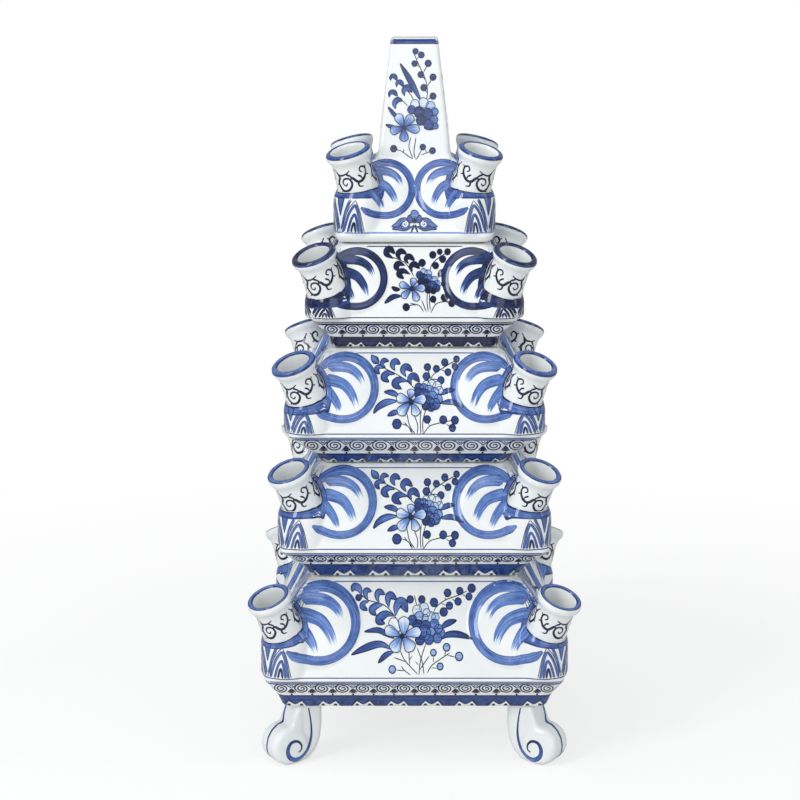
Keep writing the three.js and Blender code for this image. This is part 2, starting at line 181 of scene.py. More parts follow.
def face_outwards(piece):
    """Turns every face of a closed shape outwards."""
    with shaping(piece):
        bpy.ops.mesh.normals_make_consistent(inside=False)


def melt(piece, grain, rounds):
    """Melts joined clays into one skin of the given grain."""
    finish_with(piece, "REMESH", mode="VOXEL", voxel_size=grain * MM)
    finish_with(piece, "SMOOTH", factor=0.5, iterations=rounds)


def soften(piece, degrees):
    """Shades a piece smooth over all but its sharp edges."""
    take(piece)
    bpy.ops.object.shade_smooth_by_angle(angle=math.radians(degrees))


def draw_up(rings, extrude):
    """Draws the selected edge or face up from ring to ring, each a half width or radius and a height."""
    for (wide, low), (next_wide, high) in rings:
        extrude(TRANSFORM_OT_translate={"value": (0, 0, (high - low) * MM)})
        bpy.ops.transform.resize(value=(next_wide / wide, next_wide / wide, 1), center_override=(0, 0, 0))


# Clay
def square_block(name, rings, corner):
    """A square block drawn up ring by ring: each ring is a half width and a height in millimetres."""
    put_down()
    half, height = rings[0]
    bpy.ops.mesh.primitive_plane_add(size=2 * half * MM, location=(0, 0, height * MM))
    block = blank(name)
    settle(block)
    with shaping(block):
        bpy.ops.mesh.bevel(offset=corner * MM, segments=6, affect="VERTICES")
        draw_up(zip(rings, rings[1:]), bpy.ops.mesh.extrude_region_move)
    face_outwards(block)
    return block


def face_slope(tier):
    """How far a tier's face leans in for each millimetre up."""
    return (tier["rim"] - tier["top"]) / (tier["top_z"] - tier["lip_top"])


def round_ring(clay, height, width, steps):
    """Rounds the ring of edges that lies at one height."""
    with shaping(clay, "DESELECT"):
        pass
    for edge in clay.data.edges:
        edge.select = all(abs(clay.data.vertices[v].co.z - height * MM) < 1e-5 for v in edge.vertices)
    bpy.ops.object.mode_set(mode="EDIT")
    bpy.ops.mesh.bevel(offset=width * MM, segments=steps, affect="EDGES")
    bpy.ops.object.mode_set(mode="OBJECT")


def knuckle_clay(tier):
    """The upright knuckle under a spout, tucked in at its foot and round on top."""
    out = (tier["rim"] + tier["proud"] - KNUCKLE_RADIUS) * MM
    foot, head = tier["lip_top"] - 1, tier["seam"][1] - KNUCKLE_DROP + KNUCKLE_RADIUS
    put_down()
    bpy.ops.mesh.primitive_cylinder_add(vertices=56, radius=KNUCKLE_RADIUS * MM, depth=(head - foot) * MM,
                                        location=(out, out, (head + foot) / 2 * MM))
    clay = blank("knuckle")
    settle(clay)
    round_ring(clay, head, KNUCKLE_RADIUS - 0.4, 9)
    round_ring(clay, foot, 3.0, 3)
    return clay


def roundel_clay(tier):
    """A low cushion of clay on the face towards +X, cut off along the hip where it meets the next face's."""
    across, height, radius, swell = tier["roundel"]
    slope = face_slope(tier)
    out = tier["rim"] - (height - tier["lip_top"]) * slope
    put_down()
    bpy.ops.mesh.primitive_uv_sphere_add(segments=64, ring_count=32, radius=1)
    clay = blank("roundel")
    clay.scale = (radius * MM * 1.04, radius * MM * 1.04, swell * MM)
    clay.rotation_euler = (0, QUARTER - math.atan(slope), 0)
    clay.location = (out * MM, across * MM, height * MM)
    settle(clay)
    with shaping(clay):
        bpy.ops.mesh.bisect(plane_co=(0, 0.0001, 0), plane_no=(1, -1, 0), use_fill=True, clear_inner=True)
    return clay


def corner_clay(tier):
    """The knuckle and both roundels of the corner towards +X +Y."""
    side = roundel_clay(tier)
    other = twin(side, "roundel_other")
    other.scale = (1, -1, 1)
    settle(other)
    other.rotation_euler = (0, 0, QUARTER)
    settle(other)
    face_outwards(other)
    return lump([knuckle_clay(tier), side, other], "corner")


def lean(piece, tier, start=0.0):
    """Leans a turned piece as its spout leans and stands it on the corner towards +X +Y."""
    tilt = math.radians(tier["tilt"])
    along = Vector((math.sin(tilt) * math.sqrt(0.5), math.sin(tilt) * math.sqrt(0.5), math.cos(tilt)))
    seam = Vector((tier["seam"][0], tier["seam"][0], tier["seam"][1])) * MM
    piece.rotation_euler = along.to_track_quat("Z", "Y").to_euler()
    piece.location = seam + along * start * MM
    settle(piece)


def socket_tools(tier):
    """What is cut away for a spout: its seat and the bore down into the hollow."""
    tools = []
    for radius, low, high in ((SPOUT_ROOT + SEAM_GAP, -0.3, 38.0), (SPOUT_BORE, -25.0, 5.0)):
        put_down()
        bpy.ops.mesh.primitive_cylinder_add(vertices=48, radius=radius * MM, depth=(high - low) * MM)
        tool = blank("socket")
        lean(tool, tier, (high + low) / 2)
        tools.append(tool)
    return tools


def hollow_corner(tier, rings):
    """The hollow's corner at its floor, so round that clay is left behind the inner edge of each socket."""
    tilt = math.radians(tier["tilt"])
    edge_out = tier["seam"][0] * math.sqrt(2) - SOCKET_RADIUS * math.cos(tilt)
    edge_z = tier["seam"][1] + SOCKET_RADIUS * math.sin(tilt)
    for (half, low), (next_half, high) in zip(rings, rings[1:]):
        if low <= edge_z <= high:
            there = half + (next_half - half) * (edge_z - low) / (high - low)
    corner = max(BLOCK_CORNER, (there * math.sqrt(2) - edge_out + 3) / (math.sqrt(2) - 1))
    return corner * rings[0][0] / there


def mouth_tool(tier):
    """The mouth with the ledge inside it, on which the ring above would come to rest."""
    under, mouth = tier["top_z"] - MOUTH_DEPTH, tier["top"] - WALL
    return square_block("mouth", [(mouth - 5, under - 0.5), (mouth - 5, under + 4), (mouth, under + 4.01),
                                  (mouth, tier["top_z"] + 2)], RING_CORNER)


def hollow_rings(tier):
    """Half widths and heights of a tier's hollow, from its floor up."""
    floor = (tier["foot"] - FOOT_WALL, tier["base"] + FLOOR_TOP)
    if tier["name"] == "tier_5":
        return [floor, (tier["top"] - OBELISK_WALL, tier["top_z"]),
                (OBELISK_TOP[0] - OBELISK_WALL, OBELISK_TOP[1] - OBELISK_WALL)]
    slope = face_slope(tier)
    wall = WALL * math.hypot(1, slope)
    return [floor, (tier["waist"] - FOOT_WALL, tier["waist_z"] + 3), (tier["rim"] - wall, tier["lip_top"]),
            (tier["top"] + MOUTH_DEPTH * slope - wall, tier["top_z"] - MOUTH_DEPTH)]


def hollow_tools(tier):
    """What is cut away inside a tier: its mouth, its hollow and the recess under its floor."""
    tools = [] if tier["name"] == "tier_5" else [mouth_tool(tier)]
    rings = hollow_rings(tier)
    tools.append(square_block("hollow", rings, hollow_corner(tier, rings)))
    base = tier["base"]
    if tier["ring"]:
        inner, low, corner = tier["ring"] - RING_WIDTH, base - 10, RING_CORNER
    else:
        inner, low, corner = tier["foot"] - RECESS_INSET, base - 5, RECESS_CORNER
    tools.append(square_block("recess", [(inner, low), (inner, base + 2)], corner))
    return tools


def outer_rings(tier):
    """Half widths and heights of a tier's outside, from its base up."""
    base, foot, lip = tier["base"], tier["foot"], (tier["rim"], tier["lip_top"])
    top = (tier["top"], tier["top_z"])
    if tier["name"] == "tier_5":
        return [(foot - 4.5, base), (foot - 1.4, base + 1.4), (foot, base + 4.5), lip, top, OBELISK_TOP]
    return [(foot, base), (tier["waist"], tier["waist_z"]), (tier["rim"], tier["lip_z"]), lip, top]


def tier_body(tier):
    """One tier: its block, knuckles and roundels melt together under the glaze, and are then hollowed."""
    clays = [square_block("block", outer_rings(tier), BLOCK_CORNER)]
    if tier["ring"]:
        rings = [(tier["ring"], tier["base"] - 6.9), (tier["ring"], tier["base"] + 4)]
        clays.append(square_block("ring", rings, RING_CORNER))
    corner = corner_clay(tier)
    clays.append(corner)
    clays += [quarter_turned(corner, "corner", k) for k in (1, 2, 3)]
    body = lump(clays, tier["name"] + "_glazed")
    melt(body, SKIN, 4)
    seats = socket_tools(tier)
    hollows = hollow_tools(tier)
    others = [quarter_turned(seat, "socket", k) for seat in seats for k in (1, 2, 3)]
    for tool in hollows + seats + others:
        finish_with(body, "BOOLEAN", operation="DIFFERENCE", solver="MANIFOLD", object=tool)
        bpy.data.objects.remove(tool)
    soften(body, 40)
    return body


def thrown_spout(tier):
    """A spout drawn up ring by ring on the wheel, then leaned out on its corner."""
    put_down()
    bpy.ops.mesh.primitive_circle_add(vertices=26, radius=SPOUT_OUTLINE[0][0] * MM)
    piece = blank("thrown_spout")
    with shaping(piece):
        draw_up(zip(SPOUT_OUTLINE, SPOUT_OUTLINE[1:] + SPOUT_OUTLINE[:1]), bpy.ops.mesh.extrude_edges_move)
        bpy.ops.mesh.select_all(action="SELECT")
        bpy.ops.mesh.remove_doubles(threshold=1e-6)
        bpy.ops.mesh.normals_make_consistent(inside=False)
    finish_with(piece, "SUBSURF", levels=2, render_levels=2)
    lean(piece, tier)
    soften(piece, 60)
    return piece


def neck_clay():
    """A wedge pressed in between the leg and the top of the coil of the foot at the front right."""
    put_down()
    bpy.ops.mesh.primitive_cube_add(size=1)
    clay = blank("neck")
    clay.scale = NECK_SIZE
    clay.location = ((LEG_DEPTH + 2.1) * MM, 0, 0.0383)
    settle(clay)
    with shaping(clay):
        bpy.ops.mesh.bisect(plane_co=((LEG_DEPTH + 2.4) * MM, 0, 0.0405), plane_no=(0.77, 0, 0.3),
                            use_fill=True, clear_outer=True)
    clay.rotation_euler = (0, 0, -FOOT_SPLAY)
    out = (math.cos(FOOT_SPLAY) * LEG_DEPTH / 2 * MM, -math.sin(FOOT_SPLAY) * LEG_DEPTH / 2 * MM)
    clay.location = (FOOT_MIDDLE * MM - out[0], -FOOT_MIDDLE * MM - out[1], 0)
    settle(clay)
    return clay


def scroll_foot(corner):
    """The foot's solid from the frame and its neck, their facets melted into one glazed scroll."""
    clay = neck_clay()
    clay.scale = (-1 if "left" in corner else 1, -1 if "back" in corner else 1, 1)
    settle(clay)
    face_outwards(clay)
    foot = lump([twin(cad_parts["foot_" + corner], "foot"), clay], "glazed_foot_" + corner)
    with shaping(foot):
        bpy.ops.mesh.remove_doubles(threshold=1e-6)
    melt(foot, SKIN_FINE, 14)
    soften(foot, 60)
    return foot


# Glazes
WHITE = (0.845, 0.868, 0.862)
WHITE_COOL = (0.79, 0.83, 0.845)
GLAZE_GLOSS = 0.55


def nodes_of(name):
    """A new material with its node tree and its shader."""
    material = bpy.data.materials.new(name)
    material.use_nodes = True
    tree = material.node_tree
    return material, tree, tree.nodes["Principled BSDF"]


def add(tree, kind, **settings):
    """A node with its sockets or settings filled in."""
    node = tree.nodes.new(kind)
    for key, value in settings.items():
        if key in node.inputs:
            node.inputs[key].default_value = value
        else:
            setattr(node, key, value)
    return node


def ramp(tree, source, stops):
    """A colour ramp with stops of place and colour."""
    node = tree.nodes.new("ShaderNodeValToRGB")
    while len(node.color_ramp.elements) < len(stops):
        node.color_ramp.elements.new(1)
    for element, (place, colour) in zip(node.color_ramp.elements, stops):
        element.position = place
        element.color = (*colour, 1)
    tree.links.new(source, node.inputs["Fac"])
    return node.outputs["Color"]


def noise(tree, where, scale, detail=3.0, roughness=0.5):
    """Soft noise at the given places."""
    node = add(tree, "ShaderNodeTexNoise", Scale=scale, Detail=detail, Roughness=roughness)
    tree.links.new(where, node.inputs["Vector"])
    return node.outputs["Fac"]


def object_place(tree):
    """The place on the object, in metres."""
    return add(tree, "ShaderNodeTexCoord").outputs["Object"]


def reckon(tree, operation, first, second=None, clamp=False):
    """One sum on values or sockets."""
    node = tree.nodes.new("ShaderNodeMath")
    node.operation = operation
    node.use_clamp = clamp
    for slot, value in zip(node.inputs, (first, second)):
        if value is None:
            continue
        if isinstance(value, (int, float)):
            slot.default_value = value
        else:
            tree.links.new(value, slot)
    return node.outputs["Value"]


def sums(tree):
    """Adding, taking away and multiplying on values or sockets."""
    return [functools.partial(reckon, tree, operation) for operation in ("ADD", "SUBTRACT", "MULTIPLY")]


def glaze_surface(tree, shader, seed):
    """The gloss that every glazed surface shares: a little uneven, like hand-dipped glaze."""
    place = object_place(tree)
    flow = noise(tree, place, 38 + seed, 2.0)
    rough = ramp(tree, flow, [(0.3, (0.07, 0.07, 0.07)), (0.75, (0.17, 0.17, 0.17))])
    tree.links.new(rough, shader.inputs["Roughness"])
    bump = add(tree, "ShaderNodeBump", Strength=0.12, Distance=0.0006)
    tree.links.new(noise(tree, place, 75 + seed, 1.0), bump.inputs["Height"])
    tree.links.new(bump.outputs["Normal"], shader.inputs["Normal"])
    shader.inputs["Specular IOR Level"].default_value = GLAZE_GLOSS
    return place


def white_glaze(name, seed, warm):
    """Tin-white glaze: cooler where it lies thick, with a few fine specks of iron."""
    material, tree, shader = nodes_of(name)
    place = glaze_surface(tree, shader, seed)
    body = ramp(tree, noise(tree, place, 16 + seed, 4.0), [(0.25, WHITE_COOL), (0.6, WHITE), (0.85, warm)])
    specks = add(tree, "ShaderNodeTexVoronoi", Scale=130)
    tree.links.new(place, specks.inputs["Vector"])
    spot = ramp(tree, specks.outputs["Distance"], [(0.02, (0.55, 0.52, 0.46)), (0.055, (1, 1, 1))])
    rare = ramp(tree, specks.outputs["Color"], [(0.06, (1, 1, 1)), (0.07, (0, 0, 0))])
    mix = add(tree, "ShaderNodeMix", data_type="RGBA", blend_type="MULTIPLY")
    tree.links.new(rare, mix.inputs["Factor"])
    tree.links.new(body, mix.inputs["A"])
    tree.links.new(spot, mix.inputs["B"])
    tree.links.new(mix.outputs["Result"], shader.inputs["Base Color"])
    return material


def bristle_marks(tree, along, across):
    """Fine streaks that run along a stroke."""
    place = add(tree, "ShaderNodeCombineXYZ")
    tree.links.new(reckon(tree, "MULTIPLY", along, 0.42), place.inputs["X"])
    tree.links.new(reckon(tree, "MULTIPLY", across, 6.5), place.inputs["Y"])
    return noise(tree, place.outputs["Vector"], 1.0, 3.0, 0.6)


def cobalt(name, deepest):
    """Brushed cobalt under the glaze. The brush map runs along and across each stroke, the tone says how
    loaded the brush was, and the dryness opens the stroke into bristle marks."""
    material, tree, shader = nodes_of(name)
    glaze_surface(tree, shader, 3)
    plus, minus, times = sums(tree)
    brush = add(tree, "ShaderNodeSeparateXYZ")
    tree.links.new(add(tree, "ShaderNodeUVMap", uv_map="brush").outputs["UV"], brush.inputs["Vector"])
    along, across = brush.outputs["X"], brush.outputs["Y"]
    tone = add(tree, "ShaderNodeAttribute", attribute_name="tone").outputs["Fac"]
    dry = add(tree, "ShaderNodeAttribute", attribute_name="dry").outputs["Fac"]
    bristles = bristle_marks(tree, along, across)
    pooling = noise(tree, object_place(tree), 190, 2.0)
    from_middle = reckon(tree, "ABSOLUTE", minus(across, 0.5))
    rim = times(reckon(tree, "POWER", times(from_middle, 2.0), 5.0), 0.12)
    uneven = plus(times(minus(bristles, 0.5), 0.72), times(minus(pooling, 0.5), 0.24))
    bare = times(minus(dry, times(bristles, 1.1)), 5.0, clamp=True)
    density = times(plus(plus(tone, rim), uneven), minus(1.0, bare), clamp=True)
    colour = ramp(tree, density, [(0.0, WHITE), (0.2, (0.47, 0.61, 0.82)), (0.45, (0.14, 0.26, 0.60)),
                                  (0.7, (0.036, 0.08, 0.29)), (1.0, deepest)])
    tree.links.new(colour, shader.inputs["Base Color"])
    return material


# Brushwork: how wide a stroke is along its length, as a share of its greatest half width
FORMS = {
    "even": lambda t: min(1.0, 14 * t + 0.3, 14 * (1 - t) + 0.3),
    "loop": lambda t: 1.0,
    "leaf": lambda t: math.sin(math.pi * min(1, max(0, t))) ** 0.75,
    "comma": lambda t: math.sin(math.pi * min(1, max(0, t)) ** 1.25) ** 0.8,
    "petal": lambda t: (0.25 + 0.75 * math.sin(math.pi * 0.62 * t)) * min(1, 4.5 * (1 - t)) ** 0.5,
    "disc": lambda t: math.sqrt(max(0.0, 1 - (2 * t - 1) ** 2)),
    "drawn": lambda t: min(1, 9 * t + 0.35) * (1 - 0.55 * t ** 2),
    "swag": lambda t: 1 - 0.5 * t ** 0.9,
    "point": lambda t: max(0.0, 1 - t ** 1.25),
    "swell": lambda t: 0.3 + 0.7 * math.sin(math.pi * t ** 1.35) ** 1.5 if t < 1 else 0.3,
}
QUARTER_TURNS = [((0, -1), (1, 0)), ((-1, 0), (0, -1)), ((0, 1), (-1, 0))]
MIRROR_IMAGES = [((-1, 0), (0, 1)), ((1, 0), (0, -1)), ((-1, 0), (0, -1))]
INK = 0.97
FILM_LIFT = 0.09
LAYER_LIFT = 0.05


class Painting:
    """Strokes gathered for one piece: points, faces, and for each point its brush map, tone and dryness."""

    def __init__(self):
        self.points, self.faces, self.brush, self.tones, self.dry = [], [], [], [], []

    def add_rows(self, rows, marks):
        """Adds a strip of film from rows of spots on the clay. Where a spot is missing the strip breaks."""
        first, width, flip = len(self.points), len(rows[0]), None
        for row, row_marks in zip(rows, marks):
            self.points += [tuple(spot[0]) if spot else (0, 0, 0) for spot in row]
            for along, across, tone, dry in row_marks:
                self.brush.append((along, across))
                self.tones.append(tone)
                self.dry.append(dry)
        for i in range(len(rows) - 1):
            for j in range(width - 1):
                quad = (rows[i][j], rows[i][j + 1], rows[i + 1][j + 1], rows[i + 1][j])
                if any(spot is None for spot in quad):
                    continue
                if flip is None:
                    a, b, c, d = (spot[0] for spot in quad)
                    flip = ((b - a).cross(c - a) + (c - a).cross(d - a)).dot(quad[0][1]) < 0
                corner = first + i * width + j
                face = (corner, corner + 1, corner + 1 + width, corner + width)
                self.faces.append(face[::-1] if flip else face)

    def repeat(self, ways):
        """Repeats everything, turned or mirrored about the tower's middle."""
        count, faces, points = len(self.points), list(self.faces), list(self.points)
        for k, ((xx, xy), (yx, yy)) in enumerate(ways, 1):
            self.points += [(xx * x + xy * y, yx * x + yy * y, z) for x, y, z in points]
            order = 1 if xx * yy - xy * yx > 0 else -1
            self.faces += [tuple(v + k * count for v in face)[::order] for face in faces]
        copies = len(ways) + 1
        self.brush, self.tones, self.dry = self.brush * copies, self.tones * copies, self.dry * copies

    def film(self, name):
        """The strokes as one thin film of glaze."""
        mesh = bpy.data.meshes.new(name)
        mesh.from_pydata(self.points, [], self.faces)
        layer = mesh.uv_layers.new(name="brush")
        layer.data.foreach_set("uv", [c for loop in mesh.loops for c in self.brush[loop.vertex_index]])
        for key, values in (("tone", self.tones), ("dry", self.dry)):
            mesh.attributes.new(key, "FLOAT", "POINT").data.foreach_set("value", values)
        piece = bpy.data.objects.new(name, mesh)
        bpy.context.scene.collection.objects.link(piece)
        with shaping(piece):
            bpy.ops.mesh.delete_loose()
        bpy.ops.object.shade_smooth()
        return piece


def smooth_curve(points):
    """A fine smooth curve through the given points."""
    ends = [tuple(2 * a - b for a, b in zip(points[0], points[1]))] + list(points)
    ends.append(tuple(2 * a - b for a, b in zip(points[-1], points[-2])))
    curve = []
    for four in zip(ends, ends[1:], ends[2:], ends[3:]):
        for i in range(8):
            t = i / 8
            curve.append(tuple(0.5 * (2 * b + (c - a) * t + (2 * a - 5 * b + 4 * c - d) * t * t
                                      + (3 * b - a - 3 * c + d) * t ** 3) for a, b, c, d in zip(*four)))
    return curve + [tuple(points[-1])]


def evenly_spaced(curve, step):
    """Points on a fine curve, a step apart."""
    lengths = [0.0]
    for a, b in zip(curve, curve[1:]):
        lengths.append(lengths[-1] + math.dist(a, b))
    count = max(2, round(lengths[-1] / step))
    line, k = [], 0
    for i in range(count + 1):
        want = lengths[-1] * i / count
        while k < len(lengths) - 2 and lengths[k + 1] < want:
            k += 1
        gap = lengths[k + 1] - lengths[k]
        share = (want - lengths[k]) / gap if gap else 0
        line.append(tuple(a + (b - a) * share for a, b in zip(curve[k], curve[k + 1])))
    return line


def crosswise(line, i, closed):
    """The way straight across a line at one of its points."""
    last = len(line) - 1
    (ax, ay), (bx, by) = line[max(0, i - 1)], line[min(last, i + 1)]
    if closed and i in (0, last):
        (ax, ay), (bx, by) = line[last - 1], line[1]
    dx, dy = bx - ax, by - ay
    size = math.hypot(dx, dy) or 1.0
    return -dy / size, dx / size


def pairs(numbers):
    """A flat row of numbers as points."""
    return list(zip(numbers[::2], numbers[1::2]))


class Brush:
    """A brush that lays the strokes of a painting on one ground."""

    def __init__(self, painting, ground):
        self.painting, self.ground = painting, ground

    def stroke(self, points, width, tone, form="even", dry=0.0, lift=0, end_tone=None, columns=None, step=1.5,
               rim=0.0):
        """One stroke: width is its half width in millimetres. With a rim it gets a dark outline."""
        line = evenly_spaced(smooth_curve(points), step)
        columns = columns or (1 if width < 0.8 else 2 if width < 2.2 else 4)
        end_tone = tone if end_tone is None else end_tone
        sides = [2 * j / columns - 1 for j in range(columns + 1)]
        seed = random.uniform(0, 40)
        rows, marks, left, right, travelled = [], [], [], [], 0.0
        for i, (x, y) in enumerate(line):
            t = i / (len(line) - 1)
            nx, ny = crosswise(line, i, form == "loop")
            half = max(0.04, width * FORMS[form](t))
            travelled += math.dist(line[i - 1], line[i]) / 10 if i else 0
            shade, wear = tone + (end_tone - tone) * t, dry * max(0.0, (t - 0.45) / 0.55)
            rows.append([self.ground(x + nx * half * side, y + ny * half * side, lift) for side in sides])
            marks.append([(seed + travelled, (side + 1) / 2, shade, wear) for side in sides])
            left.append((x + nx * half, y + ny * half))
            right.append((x - nx * half, y - ny * half))
        self.painting.add_rows(rows, marks)
        if rim:
            self.outline(left + right[::-1] + left[:1], rim, lift + 1)

    def outline(self, edge, rim, lift):
        """A dark line round a stroke."""
        edge = [point for k, point in enumerate(edge) if k == 0 or math.dist(point, edge[k - 1]) > 0.15]
        self.stroke(edge, rim * 1.15, INK, "loop", lift=lift, step=1.1)

    def dab(self, x, y, radius, tone, rim=0.3, lift=1):
        """A round berry: one turn of a loaded brush."""
        self.stroke([(x - radius, y), (x, y), (x + radius, y)], radius, tone, "disc", lift=lift, rim=rim,
                    step=max(0.5, radius / 3), columns=3 if radius > 1 else 2)

    def level(self, half, height, width, tone, **how):
        """A straight line across a face at one height."""
        self.stroke([(-half, height), (0, height), (half, height)], width, tone, "loop", **how)

    def ring(self, x, y, rx, ry, width, tone, turns=1.0, start=0.0, shrink=0.0, lift=0, step=1.3):
        """A ring, or with shrink a spiral that closes in on its middle."""
        count = max(10, int(abs(turns) * 14))
        points = []
        for i in range(count + 1):
            share = i / count
            angle = start + turns * 2 * math.pi * share
            near = 1 - shrink * share
            points.append((x + rx * near * math.cos(angle), y + ry * near * math.sin(angle)))
        form = "loop" if not shrink and abs(turns) == 1 else "even"
        self.stroke(points, width, tone, form, lift=lift, step=step)


# Grounds: where a point in millimetres lies on the clay, looked for from so many metres off
FROM_AFAR = 0.3
FROM_NEAR = 0.06
FROM_CLOSE = 0.03


def lay(found, lift):
    """The spot a little above the clay that was found, with the clay's own outward way."""
    hit, normal = found[0], found[1]
    return None if hit is None else (hit + normal * (FILM_LIFT + LAYER_LIFT * lift) * MM, normal)


def front_ground(skin):
    """Across and up on the side of a tier that faces the front."""
    ahead = Vector((0, 1, 0))
    return lambda x, z, lift: lay(skin.ray_cast(Vector((x * MM, -FROM_AFAR, z * MM)), ahead), lift)


def knuckle_ground(skin, tier):
    """Round, counted from the corner's middle, and up on the knuckle at the front right."""
    out = (tier["rim"] + tier["proud"] - KNUCKLE_RADIUS) * MM

    def place(round_it, z, lift):
        angle = -math.pi / 4 + round_it / KNUCKLE_RADIUS
        way = Vector((math.cos(angle), math.sin(angle), 0))
        return lay(skin.ray_cast(Vector((out, -out, z * MM)) + way * FROM_NEAR, -way), lift)
    return place


def spout_frame(tier):
    """Seam point, axis and two cross directions of the spout at the front right."""
    tilt = math.radians(tier["tilt"])
    reach = math.sin(tilt) * math.sqrt(0.5)
    axis = Vector((reach, -reach, math.cos(tilt)))
    level = Vector((1, 1, 0)).normalized()
    seam = Vector((tier["seam"][0], -tier["seam"][0], tier["seam"][1])) * MM
    return seam, axis, level, axis.cross(level)


# Each tier's collar: its width on the outer side as a share of the inner, and how far below it the arches end
COLLARS = {"tier_1": (0.5, 8.0), "tier_2": (0.78, 6.8), "tier_3": (0.8, 6.6), "tier_4": (0.78, 6.6),
           "tier_5": (0.6, 6.2)}


def collar_ground(skin, tier):
    """Round a spout's root on the clay that carries it. The band is narrower on the steep outer side."""
    seam, axis, level, other = spout_frame(tier)
    narrow = COLLARS[tier["name"]][0]

    def place(x, y, lift):
        radius = math.hypot(x, y)
        way = (level * x + other * y) / radius
        share = narrow + (1 - narrow) * (y / radius + 1) / 2
        near = SOCKET_RADIUS + (radius - SOCKET_RADIUS) * share
        return lay(skin.ray_cast(seam + axis * FROM_CLOSE + way * near * MM, -axis), lift)
    return place


def spout_ground(skin, tier):
    """Round and up on the spout at the front right. Round is counted from its outermost line."""
    seam, axis, level, other = spout_frame(tier)

    def place(round_it, height, lift):
        angle = round_it / SPOUT_GIRTH
        way = level * math.sin(angle) - other * math.cos(angle)
        middle = seam + axis * height * MM
        return lay(skin.ray_cast(middle + way * FROM_CLOSE, -way), lift)
    return place


def lip_ground(skin, tier):
    """Across and along the mouth of the spout at the front right, seen down its axis."""
    seam, axis, level, other = spout_frame(tier)

    def place(x, y, lift):
        return lay(skin.ray_cast(seam + axis * FROM_NEAR + (level * x + other * y) * MM, -axis), lift)
    return place


def foot_frame():
    """Middle of the foot at the front right, the way it points and the way across it."""
    out = Vector((math.cos(FOOT_SPLAY), -math.sin(FOOT_SPLAY), 0))
    across = Vector((math.sin(FOOT_SPLAY), math.cos(FOOT_SPLAY), 0))
    return Vector((FOOT_MIDDLE, -FOOT_MIDDLE, 0)) * MM, out, across


def foot_side_ground(skin, side):
    """Out and up on a side of the foot at the front right. Side -1 faces the front and 1 the other way."""
    middle, out, across = foot_frame()
    across = across * side

    def place(x, z, lift):
        start = middle + out * (x - LEG_DEPTH / 2) * MM + across * FROM_CLOSE + Vector((0, 0, z * MM))
        return lay(skin.ray_cast(start, -across), lift)
    return place


def foot_rim_ground(skin):
    """Across and up the outer face of the foot at the front right. Below the coil's eye it winds round it."""
    middle, out, across = foot_frame()

    def place(w, z, lift):
        if z > SCROLL_RADIUS:
            start = middle + out * FROM_NEAR + across * w * MM + Vector((0, 0, z * MM))
            return lay(skin.ray_cast(start, -out), lift)
        angle = (SCROLL_RADIUS - z) / SCROLL_RADIUS
        aside = out * (SCROLL_EYE_OUT - LEG_DEPTH / 2) * MM
        eye = middle + aside + across * w * MM + Vector((0, 0, SCROLL_RADIUS * MM))
        way = out * math.cos(angle) - Vector((0, 0, math.sin(angle)))
        return lay(skin.ray_cast(eye + way * FROM_CLOSE, -way), lift)
    return place


